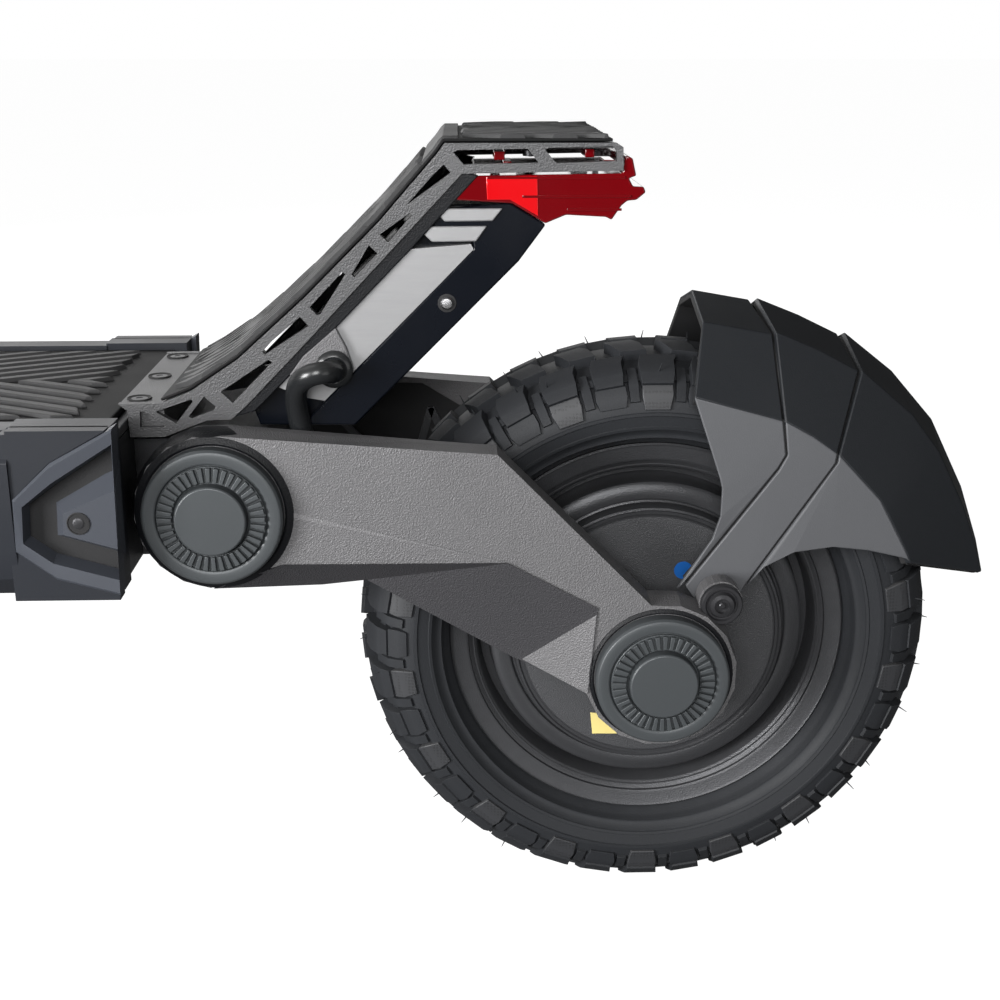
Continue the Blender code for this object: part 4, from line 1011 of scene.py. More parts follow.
@dataclass
class SwingArm:
    """Arms, round caps, shafts, caliper and fender bolts of one end."""

    end: End
    outer_y: float = 0.0720
    ribs: int = 40
    pivot: Pair = (0.1870, 0.0756)
    ear: Pair = (-0.0254, 0.0314)
    pivot_boss: tuple[Pair, ...] = ((0.0291, 0.0700), (0.0291, 0.0727), (0.0300, 0.0732), (0.0325, 0.0722),
                                    (0.0343, 0.0680), (0.0343, 0.0600), (0.0325, 0.0600))
    axle_boss: tuple[Pair, ...] = ((0.0291, 0.0700), (0.0291, 0.0726), (0.0297, 0.0729), (0.0310, 0.0723),
                                   (0.0318, 0.0700))

    def cap(self) -> bmesh.types.BMesh:
        """A round cap with a ring of radial keys round a flat disc, made about Z."""
        base = self.outer_y
        body = turned([(0, base + 0.0004), (0.02875, base + 0.0004), (0.02875, base + 0.0060),
                       (0.0280, base + 0.0071),
                       (0.0268, base + 0.0075), (0.0240, base + 0.0075), (0.0229, base + 0.0069),
                       (0.0226, base + 0.0058), (0.0222, base + 0.0058), (0.0222, base + 0.0072),
                       (0.0158, base + 0.0076), (0.0155, base + 0.0062), (0.0148, base + 0.0062),
                       (0.0146, base + 0.0108), (0.0140, base + 0.0114), (0, base + 0.0116)], 96)
        keys = []
        half = math.pi / self.ribs * 0.70
        for t in turns(self.ribs):
            rings = []
            for z, grow in ((base + 0.0070, 1.0), (base + 0.0091, 0.82)):
                rings.append([(r * math.cos(t + a * grow), r * math.sin(t + a * grow), z)
                              for r, a in ((0.0160, -half), (0.0219, -half), (0.0219, half), (0.0160, half))])
            keys.append(loft(rings))
        return merged([body, *keys])

    def facet(self, sign: int) -> bmesh.types.BMesh:
        """The sloping face under the arm's flat side, as a thin skin in a darker copy of the arm's finish: painted
        shade.
        """
        upper = [(0.1890, 0.0428), (0.1600, 0.0530), (0.0663, 0.0527), (0.0280, 0.0320), (0.0314, -0.0076)]
        under = [(0.1890, 0.0412), (0.1450, 0.0402), (0.1260, 0.0422), (0.0640, 0.0057), (0.0330, -0.0083)]
        rings = []
        for (x0, z0), (x1, z1) in zip(upper, under):
            ring = ((x0, 0.0728, z0), (x1, 0.0627, z1), (x1, 0.0611, z1 + 0.0006), (x0, 0.0712, z0 - 0.0004))
            rings.append([self.end.at(x, sign * y, z) for x, y, z in ring])
        return loft(rings)

    def bolt(self) -> bmesh.types.BMesh:
        """The button-headed bolt of the fender stay, in its collar, made about Z."""
        collar = turned([(0.0052, 0.0662), (0.0086, 0.0662), (0.0090, 0.0668), (0.0090, 0.0692), (0.0084, 0.0700),
                         (0.0072, 0.0700), (0.0066, 0.0690), (0.0052, 0.0688)], 48)
        head = turned([(0, 0.0664), (0.0060, 0.0664), (0.0060, 0.0690), (0.0050, 0.0706), (0.0034, 0.0710),
                       (0.0032, 0.0694), (0, 0.0694)], 40)
        star = turned([(0, 0.0692), (0.0014, 0.0692), (0.0014, 0.0704), (0.0010, 0.0707), (0, 0.0707)], 18)
        return merged([collar, head, star])

    def build(self) -> None:
        """Makes and dresses the pieces."""
        name, body = self.end.name, f"{self.end.name}_arm"
        for side, sign in SIDES.items():
            dress(f"{name}_arm_{side}", Finishes.ARM, Edge(0.0026, 3, 18))
            for place, (x, z) in (("pivot", self.pivot), ("axle", (0.0, 0.0))):
                cx, _, cz = self.end.at(x, 0, z)
                add(f"{name}_{place}_cap_ribbed_{side}", across(self.cap(), cx, cz, sign), Finishes.CAP, body,
                    [f"{name}_{place}_cap_{side}"], Edge(0.00025, 2, 35), 30)
            # Near-black rings round each cap: painted shade in the fillet between the cap and the arm.
            for place, spot, ring in (("pivot", self.pivot, self.pivot_boss), ("axle", (0.0, 0.0), self.axle_boss)):
                add(f"{name}_{place}_boss_{side}", self.end.turned(ring, 96, spot, sign), Finishes.SHADE_BLACK, body, ())
            add(f"{name}_arm_facet_{side}", self.facet(sign), Finishes.ARM_FACET_SHADE, body, (), Edge(0.0006))
            cx, _, cz = self.end.at(self.ear[0], 0, self.ear[1])
            add(f"{name}_fender_bolt_{side}", across(self.bolt(), cx, cz, sign), Finishes.BLACK_BOLT, body)
        dress(f"{name}_pivot_shaft", Finishes.STEEL, Edge(0.0005))
        dress(f"{name}_axle", Finishes.STEEL, Edge(0.0005))
        dress(f"{name}_caliper", Finishes.RIM, Edge(0.0020, 3))
        self.pockets()

    def pockets(self) -> None:
        """Triangular stiffening ribs on the inner face of each arm."""
        shapes = []
        face = 0.0570
        zigzag = [(0.150, 0.088), (0.112, 0.046), (0.100, 0.088), (0.076, 0.030), (0.062, 0.072), (0.046, 0.018)]
        for sign in SIDES.values():
            for (x0, z0), (x1, z1) in zip(zigzag, zigzag[1:]):
                along = Vector((x1 - x0, z1 - z0)).normalized() * 0.0018
                normal = Vector((-along.y, along.x))
                corners = [(x0 + normal.x, z0 + normal.y), (x1 + normal.x, z1 + normal.y),
                           (x1 - normal.x, z1 - normal.y), (x0 - normal.x, z0 - normal.y)]
                shapes.append(self.end.slab(corners, face - 0.0022, face + 0.0004, sign))
        # The pockets' floor in near-black: painted shade in the recesses.
        floor = [(0.160, 0.102), (0.104, 0.100), (0.062, 0.074), (0.046, 0.030), (0.062, 0.020), (0.112, 0.038),
                 (0.160, 0.064)]
        add(f"{self.end.name}_arm_pockets", merged(self.end.slabs(floor, 0.0565, 0.0574)), Finishes.RECESS_SHADE,
            f"{self.end.name}_arm")
        add(f"{self.end.name}_arm_inner_ribs", merged(shapes), Finishes.RIM, f"{self.end.name}_arm", ())


# ---------------------------------------------------------------- fenders


@dataclass
class Fender:
    """Creased fender in three lapped panels, with a skirt down to the bolt on each side."""

    end: End
    full: bool
    wall: float = 0.0022
    ridge: tuple[tuple[Pair, ...], ...] = (
        ((-0.0182, 0.1552), (-0.0440, 0.1506)),
        ((-0.0477, 0.1513), (-0.0668, 0.1437), (-0.0851, 0.1349)),
        ((-0.0884, 0.1356), (-0.1115, 0.1177), (-0.1321, 0.0948), (-0.1493, 0.0620), (-0.1590, 0.0357),
         (-0.1636, 0.0191)))
    crease: tuple[tuple[Pair, ...], ...] = (
        ((-0.0184, 0.1465), (-0.0485, 0.1412)),
        ((-0.0500, 0.1419), (-0.0690, 0.1341), (-0.0870, 0.1247)),
        ((-0.0888, 0.1246), (-0.1124, 0.1051), (-0.1260, 0.0880), (-0.1395, 0.0620), (-0.1470, 0.0430),
         (-0.1506, 0.0309)))
    lower: tuple[tuple[Pair, ...], ...] = (
        ((-0.0131, 0.1177), (-0.0512, 0.1072)),
        ((-0.0524, 0.1069), (-0.0650, 0.1000), (-0.0755, 0.0926)),
        ((-0.0766, 0.0919), (-0.0961, 0.0713), (-0.1015, 0.0620), (-0.1080, 0.0500), (-0.1100, 0.0460),
         (-0.1115, 0.0425)))

    def skirts(self) -> list[list[Pair]]:
        """The flat side panels as (x, z) outlines."""
        first = [(-0.0131, 0.1177), (-0.0512, 0.1072), (-0.0531, 0.0925), (-0.0495, 0.0864), (-0.0110, 0.0352),
                 (-0.0081, 0.0330), (-0.0227, 0.0555), (-0.0259, 0.0660), (-0.0262, 0.0783), (-0.0250, 0.0830)]
        second = [(-0.0524, 0.1069), (-0.0650, 0.1000), (-0.0755, 0.0926), (-0.0750, 0.0886), (-0.0376, 0.0339),
                  (-0.0350, 0.0270), (-0.0300, 0.0225), (-0.0240, 0.0220), (-0.0180, 0.0250), (-0.0150, 0.0300),
                  (-0.0120, 0.0345), (-0.0504, 0.0858), (-0.0541, 0.0925)]
        third = [(-0.0766, 0.0919), (-0.0961, 0.0713), (-0.1080, 0.0500), (-0.1115, 0.0425), (-0.1098, 0.0444),
                 (-0.0919, 0.0490), (-0.0761, 0.0511), (-0.0588, 0.0493), (-0.0463, 0.0427), (-0.0388, 0.0340),
                 (-0.0761, 0.0884)]
        return [first, second, third if self.full else third[:3] + [(-0.1010, 0.0480)] + third[5:]]

    def shell(self, index: int, shrink: float = 0.0) -> bmesh.types.BMesh:
        """One creased panel over the wheel.

        Args:
            index: which panel, counted from the front edge.
            shrink: how far its outer face lies under the panel's own, in metres.

        Returns:
            The closed panel.
        """
        count = None if self.full or index < 2 else 3
        rows = list(zip(self.ridge[index][:count], self.crease[index][:count], self.lower[index][:count]))
        rings = []
        for ridge, crease, lower in rows:
            outer = [(*lower, 0.0500), (*crease, 0.0320), (*ridge, 0.0)]
            outer += [(x, z, -y) for x, z, y in outer[1::-1]]
            ring = []
            for inset in (shrink, shrink + self.wall):
                layer = []
                for x, z, y in outer:
                    reach = math.hypot(x, z)
                    share = (reach - inset) / reach
                    pinch = 1 - inset / 0.05 * (0.6 if abs(y) > 0.01 else 0.0)
                    layer.append(self.end.at(x * share, y * pinch, z * share))
                ring.append(layer)
            rings.append(ring[0] + ring[1][::-1])
        return loft(rings)

    def side(self, outline: Sequence[Pair], sign: int, sink: float = 0.0) -> bmesh.types.BMesh:
        """A side panel that flares out from the lower crease towards the bolt."""
        bm = prism(self.end.outline(outline), 0.0, 1.0)
        crease = [point for part in self.lower for point in part]
        for vert in bm.verts:
            x, z = (vert.co.x - self.end.axle.x) * self.end.inward, vert.co.z - self.end.axle.z
            away = min(math.hypot(x - a, z - b) for a, b in crease)
            flare = 0.0500 + 0.0042 * min(1.0, away / 0.045) - sink
            vert.co.y = sign * (flare - (0.0 if vert.co.y > 0.5 else self.wall))
        bmesh.ops.triangulate(bm, faces=[f for f in bm.faces if len(f.verts) > 4])
        bmesh.ops.recalc_face_normals(bm, faces=bm.faces)
        return bm

    def build(self) -> None:
        """Makes the panels, and near-black pieces under them, in the laps and round the bolt, as painted shade."""
        name, body = self.end.name, f"{self.end.name}_arm"
        panels = [self.shell(i) for i in range(3)]
        skirts = [self.side(outline, sign) for outline in self.skirts() for sign in SIDES.values()]
        # Same plastic: the panels painted darker as painted shade, the skirts painted lighter as painted light.
        add(f"{name}_fender_panels", merged(panels), Finishes.FENDER_PANELS_SHADED, body, [f"{name}_fender"],
            Edge(0.0006, 2, 12), 8)
        add(f"{name}_fender_skirts", merged(skirts), Finishes.SKIRTS_LIT, body, (), Edge(0.0006, 2, 12), 8)
        # Near-black inset shell, lap strips and bolt disc: painted shade under the panels, in the laps and round
        # the bolt.
        shade_shells = [self.shell(i, 0.0016) for i in range(3)]
        seams = ([(-0.0500, 0.1080), (-0.0536, 0.1070), (-0.0560, 0.0925), (-0.0520, 0.0860), (-0.0140, 0.0350),
                  (-0.0110, 0.0380), (-0.0480, 0.0850), (-0.0515, 0.0925)],
                 [(-0.0745, 0.0935), (-0.0775, 0.0915), (-0.0775, 0.0885), (-0.0400, 0.0345), (-0.0370, 0.0360),
                  (-0.0740, 0.0890)])
        shade_shells += [self.side(seam, sign, 0.0012) for seam in seams for sign in SIDES.values()]
        shade_shells += self.end.slabs(circle((-0.0254, 0.0314), 0.0098, 28), 0.0497, 0.0536)
        add(f"{name}_fender_underside_painted_shade", merged(shade_shells), Finishes.RECESS_SHADE, body, (), Edge(0.0004))


# ---------------------------------------------------------------- tail


@dataclass
class Ribs:
    """Raised chevron ribs on a mat, laid along a path in the XZ plane.

    Args:
        path: the mat's top face seen from the side, from the deck's end.
        half: half of the ribbed width.
        lean: the angle between a rib and the path, in degrees.
        pitch: the distance between ribs, square to them.
        width: the width of a rib.
        rise: its height.
        steps: how many lengths a rib is made of.
        root: how far a rib reaches into the mat.
    """

    path: list[Pair]
    half: float
    lean: float = 28.0
    pitch: float = 0.0098
    width: float = 0.0054
    rise: float = 0.0018
    steps: int = 10
    root: float = 0.0006

    def __post_init__(self) -> None:
        """Measures the path."""
        self.lengths = [0.0]
        for (x0, z0), (x1, z1) in zip(self.path, self.path[1:]):
            self.lengths.append(self.lengths[-1] + math.hypot(x1 - x0, z1 - z0))

    def point(self, s: float, y: float, lift: float) -> Triple:
        """A point at a distance along the path, lifted off it."""
        index = max(i for i, length in enumerate(self.lengths[:-1]) if length <= max(s, 0.0) + 1e-9)
        (x0, z0), (x1, z1) = self.path[index], self.path[index + 1]
        span = self.lengths[index + 1] - self.lengths[index]
        t = (s - self.lengths[index]) / span
        ux, uz = (x1 - x0) / span, (z1 - z0) / span
        up = 1 if ux <= 0 else -1
        return (x0 + (x1 - x0) * t + uz * up * lift, y, z0 + (z1 - z0) * t - ux * up * lift)

    def rib(self, start: float, sign: int, first: float, last: float) -> bmesh.types.BMesh | None:
        """One arm of a chevron, cut off where the ribbed length ends."""
        slope = 1 / math.tan(math.radians(self.lean))
        rings = []
        reach = self.width / 2 / math.sin(math.radians(self.lean))
        for i in range(self.steps + 1):
            y = self.half * i / self.steps
            s = start + y * slope
            low, high = max(first, s - reach), min(last, s + reach)
            if high - low < 0.0006:
                if rings:
                    break
                continue
            trim = min(0.0014, (high - low) * 0.3)
            rings.append([self.point(low, sign * y, -self.root), self.point(low + trim, sign * y, self.rise),
                          self.point(high - trim, sign * y, self.rise), self.point(high, sign * y, -self.root)])
        return loft(rings) if len(rings) > 1 else None

    def lay(self, first: float, last: float) -> bmesh.types.BMesh:
        """All ribs between two distances along the path."""
        step = self.pitch / math.sin(math.radians(self.lean))
        slope = 1 / math.tan(math.radians(self.lean))
        made = []
        start = first - self.half * slope - step
        while start < last + step:
            made += [rib for sign in (1, -1) if (rib := self.rib(start, sign, first, last))]
            start += step
        return merged(made)


@dataclass
class Tail:
    """Raised footrest with its mat, housing, silver panels, lens and motor cable."""

    upper: tuple[Pair, ...] = ((0.2095, 0.1176), (0.1970, 0.1225), (0.1770, 0.1357), (0.1484, 0.1611),
                               (0.1175, 0.1914), (0.0936, 0.2182), (0.0908, 0.2221), (0.0240, 0.2221))
    band: float = 0.0530
    slab_bolt: Pair = (0.0906, 0.1583)
    gland_spot: Pair = (0.1374, 0.1317)
    cable_radius: float = 0.0046
    cable_route: tuple[Triple, ...] = (
        (0.1374, 0.0515, 0.1317), (0.1374, 0.0560, 0.1317), (0.1378, 0.0610, 0.1320), (0.1410, 0.0650, 0.1328),
        (0.1465, 0.0648, 0.1315), (0.1512, 0.0608, 0.1272), (0.1532, 0.0560, 0.1200), (0.1530, 0.0525, 0.1120),
        (0.1515, 0.0508, 0.1030), (0.1480, 0.0500, 0.0930), (0.1400, 0.0498, 0.0835), (0.1200, 0.0496, 0.0745),
        (0.0950, 0.0495, 0.0650), (0.0700, 0.0495, 0.0530), (0.0450, 0.0495, 0.0340), (0.0170, 0.0495, 0.0080))

    def offset(self, lift: float) -> list[Pair]:
        """The path of the footrest's upper face moved outwards."""
        points = [Vector(point) for point in self.upper]
        legs = [(b - a).normalized() for a, b in zip(points, points[1:])]
        normals = [Vector((leg.y, -leg.x)) for leg in legs]
        moved = []
        for point, before, after in zip(points, normals[:1] + normals, normals + normals[-1:]):
            shift = (before + after) * lift / (1 + before.dot(after))
            moved.append((point.x + shift.x, point.y + shift.y))
        return moved

    def mat(self) -> None:
        """The rubber mat: a base sheet darker than the ribs as painted shade in the grooves, chevron ribs on the
        slope and the top, and a plain band at the bend.
        """
        half = self.band - 0.0022
        base = REAR.outline(self.offset(0.0016) + self.offset(0.0004)[::-1])
        add("tail_mat_base", prism(base, -half, half), Finishes.MAT_GROOVE_SHADED, "chassis", ["tail_mat"],
            Edge(0.0004))
        ribs = Ribs(REAR.outline(self.offset(0.0016)), half - 0.0006)
        crest = ribs.lengths[5]
        add("tail_mat_slope_ribs", ribs.lay(0.0040, crest - 0.0075), Finishes.MAT, "chassis", (),
            Edge(0.0003))
        add("tail_mat_top_ribs", ribs.lay(crest + 0.0125, ribs.lengths[-1] - 0.0012), Finishes.MAT, "chassis", (),
            Edge(0.0003))
        low, high = crest - 0.0068, crest + 0.0118
        spots = [low + (high - low) * i / 12 for i in range(13)]
        rings = [[ribs.point(s, y, lift) for y, lift in ((-half + 0.001, -0.0006), (-half + 0.0018, 0.0010),
                                                         (half - 0.0018, 0.0010), (half - 0.001, -0.0006))]
                 for s in spots]
        add("tail_mat_bend_band", loft(rings), Finishes.MAT, "chassis", (), Edge(0.0003))

    def frame_trim(self) -> None:
        """The lip under the side plates in near-black as painted shade, the strip's screws and the tail light's
        clips.
        """
        lip = [(0.1800, 0.1112), (0.1742, 0.1168), (0.1484, 0.1432), (0.0840, 0.2107), (0.0775, 0.2095),
               (0.1049, 0.1805),
               (0.1359, 0.1489), (0.1686, 0.1161), (0.1709, 0.1138)]
        # The lip is near-black: painted shade under the side plates.
        add("tail_lips", merged(REAR.slabs(lip, 0.0490, 0.0522)), Finishes.SHADE_BLACK, "chassis", (),
            Edge(0.0004))
        sockets, heads = [], []
        for y in (-0.0425, 0.0, 0.0425):
            x, _, z = REAR.at(0.2205, 0, 0.1172)
            ring = turned([(0.0034, 0.0), (0.0052, 0.0), (0.0050, 0.0006), (0.0046, 0.0004), (0.0034, 0.0002)], 40)
            head = turned([(0, 0), (0.0036, 0), (0.0036, 0.0002), (0.0016, 0.0003), (0.0014, 0.0001), (0, 0.0001)],
                          32)
            for bm, store in ((ring, sockets), (head, heads)):
                bm.transform(Matrix.Translation((x, y, z)))
                store.append(bm)
        # Near-black sockets round the screws: painted shade in their recesses.
        add("strip_screw_sockets", merged(sockets), Finishes.RECESS_SHADE, "chassis")
        add("strip_screws", merged(heads), Finishes.BLACK_BOLT, "chassis")
        clips = [(0.0712, 0.0668, 0.2150, 0.2184), (0.0675, 0.0640, 0.2120, 0.2145),
                 (0.0346, 0.0308, 0.2160, 0.2193),
                 (0.0271, 0.0225, 0.2127, 0.2150)]
        shapes = [cuboid(REAR.at(low, 0.026, z0), REAR.at(high, 0.046, z1)) for high, low, z0, z1 in clips]
        shapes += [cuboid(REAR.at(low, -0.046, z0), REAR.at(high, -0.026, z1)) for high, low, z0, z1 in clips]
        add("tail_light_clips", merged(shapes), Finishes.LENS, "chassis", (), Edge(0.0004))
        screws = []
        for x in (0.0560, 0.0295):
            for y in (0.036, -0.036):
                screw = turned([(0, -0.0070), (0.0017, -0.0070), (0.0017, 0.0), (0.0032, 0.0), (0.0032, 0.0022),
                                (0, 0.0026)], 20)
                screw.transform(Matrix.Translation(REAR.at(x, y, 0.2182)) @ Matrix.Rotation(math.pi, 4, "X"))
                screws.append(screw)
        add("tail_light_screws", merged(screws), Finishes.BLACK_BOLT, "chassis")

    def housing(self) -> None:
        """The black housing, its side slabs with their screws, and the two silver slats a side."""
        dress("tail_housing", Finishes.SLAB, Edge(0.0006))
        slab = [(0.0795, 0.1801), (0.0800, 0.1870), (0.0960, 0.1890), (0.0935, 0.1960), (0.0648, 0.1984),
                (0.0504, 0.1898),
                (0.0610, 0.1757), (0.0937, 0.1428), (0.1024, 0.1343), (0.1213, 0.1155), (0.1298, 0.1070),
                (0.1500, 0.1072),
                (0.1479, 0.1111), (0.0934, 0.1660)]
        first = [(0.0931, 0.1934), (0.0914, 0.1965), (0.0678, 0.1965), (0.0718, 0.1915), (0.0911, 0.1913)]
        second = [(0.0996, 0.1863), (0.0965, 0.1894), (0.0741, 0.1895), (0.0785, 0.1834), (0.0963, 0.1832)]
        head = [(0, 0.0500), (0.0026, 0.0500), (0.0026, 0.0510), (0.0020, 0.0516), (0, 0.0518)]
        ring = [(0.0026, 0.0500), (0.0038, 0.0500), (0.0038, 0.0504), (0.0026, 0.0506)]
        slats, bolts, rings = [], [], []
        for sign in SIDES.values():
            slats += [REAR.slab(outline, 0.0495, 0.0513, sign) for outline in (first, second)]
            bolts.append(REAR.turned(head, 36, self.slab_bolt, sign))
            rings.append(REAR.turned(ring, 36, self.slab_bolt, sign))
        add("tail_slabs", merged(REAR.slabs(slab, 0.0450, 0.0502)), Finishes.SLAB, "chassis", (),
            Edge(0.0006))
        add("tail_slats", merged(slats), Finishes.SILVER, "chassis", (), Edge(0.0005))
        add("tail_slab_bolts", merged(bolts), Finishes.STEEL, "chassis", ())
        # Near-black rings round the slab bolts: painted shade in their recesses.
        add("tail_slab_bolt_rings", merged(rings), Finishes.RECESS_SHADE, "chassis")
        for side in SIDES:
            dress(f"tail_panel_{side}", Finishes.SILVER, Edge(0.0006))

    def lens(self) -> None:
        """The ridged red lens and its lit zone."""
        outline = [(0.0880, 0.2000), (0.0790, 0.2094), (0.0200, 0.2102), (0.0189, 0.2172), (0.0160, 0.2160),
                   (0.0144, 0.2092), (0.0173, 0.2082), (0.0156, 0.2051), (0.0113, 0.2049), (0.0104, 0.2027),
                   (0.0141, 0.1997), (0.0177, 0.1994), (0.0200, 0.1975), (0.0239, 0.1918), (0.0262, 0.1930),
                   (0.0423, 0.1939), (0.0506, 0.1905), (0.0640, 0.1985)]
        half = self.band - 0.0012
        add("tail_lens_ridged", prism(REAR.outline(outline), -half, half), Finishes.LENS, "chassis", ["tail_lens"],
            Edge(0.0006, 2, 24))
        ridges = []
        for low, high, z in ((0.0190, 0.0740, 0.2086), (0.0165, 0.0600, 0.2012), (0.0200, 0.0420, 0.1960)):
            ridge = [(low, z - 0.0005), (high, z - 0.0005), (high, z + 0.0005), (low, z + 0.0005)]
            ridges += REAR.slabs(ridge, half - 0.0004, half + 0.0007)
        add("tail_lens_ridges", merged(ridges), Finishes.LENS, "chassis", (), Edge(0.0002))
        lit = [(0.0745, 0.2090), (0.0540, 0.2093), (0.0535, 0.1935), (0.0640, 0.1995), (0.0650, 0.2000),
               (0.0740, 0.2000)]
        add("tail_lens_lit_zone", merged(REAR.slabs(lit, half - 0.0003, half + 0.0004)), Finishes.LENS_LIT,
            "chassis", (), Edge(0.0003))

    def gland(self) -> None:
        """The tab that the cable comes through, and its grommet."""
        tab = [(0.1362, 0.1487), (0.1321, 0.1405), (0.1300, 0.1340), (0.1307, 0.1304), (0.1350, 0.1263),
               (0.1402, 0.1252),
               (0.1452, 0.1268), (0.1560, 0.1290), (0.1500, 0.1370)]
        add("gland_tab", prism(REAR.outline(tab), 0.0500, 0.0530), Finishes.ARM, "chassis", (),
            Edge(0.0006))
        grommet = [(0.0040, 0.0506), (0.0078, 0.0506), (0.0078, 0.0542), (0.0068, 0.0552), (0.0056, 0.0556),
                   (0.0040, 0.0552)]
        add("gland_grommet", REAR.turned(grommet, 40, self.gland_spot), Finishes.CABLE, "chassis", ["cable_gland"])

    def cable(self) -> None:
        """The motor cable, run from the gland on the chassis to the rear arm."""
        points = [REAR.at(x, y, z) for x, y, z in self.cable_route]
        route = flowing(points, 0.0022)
        sheath = make("motor_cable_sheath", hose(route, lambda share: self.cable_radius, 20), Finishes.CABLE)
        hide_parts("motor_cable")
        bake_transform(sheath)
        LOG.info("motor_cable_sheath bends between chassis and rear_arm")

    def build(self) -> None:
        """Makes and dresses the pieces."""
        dress("tail_frame", Finishes.FRAME, Edge(0.00045))
        self.mat()
        self.frame_trim()
        self.housing()
        self.lens()
        self.gland()
        self.cable()


# ---------------------------------------------------------------- deck


@dataclass
class Deck:
    """Tray, lid, ribbed mat and the moulded cover on each side."""

    front: float = 0.7380
    split: float = 0.2613
    bolt: Pair = (0.2358, 0.0800)
    outer: tuple[Pair, ...] = ((0.2197, 0.1184), (0.2451, 0.1044), (0.2606, 0.0898), (0.2613, 0.0684),
                               (0.2460, 0.0565),
                               (0.2217, 0.0497))
    inner: tuple[Pair, ...] = ((0.2205, 0.1104), (0.2449, 0.0944), (0.2561, 0.0862), (0.2571, 0.0728),
                               (0.2473, 0.0654),
                               (0.2215, 0.0579))

    def mat(self) -> None:
        """The deck's mat with its chevron ribs and plain border, the mat darker than the ribs as painted shade in
        the grooves.
        """
        low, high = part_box("deck_mat")
        dress("deck_mat", Finishes.MAT_GROOVE_SHADED, Edge(0.0006))
        path = [(low.x + 0.0140, high.z), (high.x - 0.0100, high.z)]
        ribs = Ribs(path[::-1], 0.0640, pitch=0.0104, width=0.0056)
        add("deck_mat_ribs", ribs.lay(0.0, ribs.lengths[-1]), Finishes.MAT, "chassis", (), Edge(0.0004))

    def covers(self) -> None:
        """Each side cover: a bevelled length and a raised octagonal end with a wedge and a bolt hole."""
        for side, sign in SIDES.items():
            add(f"side_cover_moulding_{side}", merged(self.cover_parts(sign)), Finishes.COVER, "chassis",
                [f"side_cover_{side}"], Edge(0.0007, 2, 20))
            # The long face in a darker copy of the cover's colour: painted shade.
            add(f"side_cover_length_{side}", merged(self.cover_length(sign)), Finishes.COVER_BODY, "chassis", (),
                Edge(0.0007, 2, 20))
            # The bolt hole and the octagon's recess floor in near-black: painted shade.
            hole = [(0, 0.0950), (0.0046, 0.0950), (0.0046, 0.0966), (0.0042, 0.0967), (0.0040, 0.0964),
                    (0, 0.0964)]
            recess = REAR.slab(self.inner, 0.0872, 0.0893, sign)
            add(f"side_cover_hole_{side}", merged([REAR.turned(hole, 36, self.bolt, sign), recess]), Finishes.RECESS_SHADE,
                "chassis")
            head = [(0, 0.0955), (0.0022, 0.0955), (0.0022, 0.0966), (0.0016, 0.0968), (0, 0.0968)]
            add(f"side_cover_bolt_{side}", REAR.turned(head, 24, self.bolt, sign), Finishes.BLACK_BOLT, "chassis")

    def cover_length(self, sign: int) -> list[bmesh.types.BMesh]:
        """The long bevelled moulding of one side cover, and the part of it tucked under the raised end."""
        section = [(0.0750, 0.1160), (0.0880, 0.1160), (0.0962, 0.1045), (0.0962, 0.0700), (0.0940, 0.0560),
                   (0.0860, 0.0470), (0.0750, 0.0470)]
        tucked = [(0.0750, 0.1172), (0.0890, 0.1172), (0.0905, 0.1120), (0.0885, 0.1045), (0.0885, 0.0700),
                  (0.0860, 0.0480), (0.0750, 0.0480)]
        nose = [(0.0750, 0.1100), (0.0840, 0.1100), (0.0900, 0.1000), (0.0900, 0.0720), (0.0880, 0.0600),
                (0.0820, 0.0510),
                (0.0750, 0.0510)]
        runs = [[(0.2222, tucked), (self.split + 0.0010, tucked)],
                [(self.split, section), (self.front - 0.0200, section), (self.front, nose)]]
        back = [(0.2613, 0.1160), (0.2640, 0.1160), (0.2640, 0.0470), (0.2222, 0.0470), (0.2222, 0.0500),
                (0.2460, 0.0567),
                (0.2612, 0.0684), (0.2605, 0.0898), (0.2452, 0.1044), (0.2230, 0.1168), (0.2230, 0.1172),
                (0.2613, 0.1172)]
        lengths = [loft([[REAR.at(x, sign * y, z) for y, z in ring] for x, ring in stations]) for stations in runs]
        return [*lengths, REAR.slab(back, 0.0870, 0.0950, sign)]

    def between(self, outwards: float, inwards: float) -> list[Pair]:
        """An octagon between the outer one and the inner one, by their weights."""
        return [(a * outwards + c * inwards, b * outwards + d * inwards)
                for (a, b), (c, d) in zip(self.outer, self.inner)]

    def cover_parts(self, sign: int) -> list[bmesh.types.BMesh]:
        """The octagonal end of one side cover, with its wedge."""
        root, shoulder, crest = 0.0875, 0.0962, 0.0972
        sections = ((self.outer, root), (self.outer, shoulder), (self.between(0.86, 0.14), crest),
                    (self.between(0.22, 0.78), crest - 0.0006), (self.inner, root + 0.0030), (self.inner, root))
        loops = [[REAR.at(x, sign * depth, z) for x, z in outline] for outline, depth in sections]
        wedge_base = [(0.2200, 0.1030), (0.2470, 0.0875), (0.2478, 0.0722), (0.2206, 0.0640)]
        wedge_top = [(0.2203, 0.0935), (0.2415, 0.0840), (0.2420, 0.0752), (0.2211, 0.0690)]
        wedge = frustum([REAR.at(x, sign * 0.0870, z) for x, z in wedge_base],
                        [REAR.at(x, sign * 0.0962, z) for x, z in wedge_top])
        return [loft(loops, looped=True), wedge]

    def build(self) -> None:
        """Makes and dresses the pieces."""
        dress("deck_frame", Finishes.RIM, Edge(0.0010))
        dress("deck_lid", Finishes.RIM, Edge(0.0005))
        dress("battery_pack", Finishes.PACK, Edge(0.0020))
        dress("controller", Finishes.SILVER, Edge(0.0015))
        self.mat()
        self.covers()


# ---------------------------------------------------------------- front


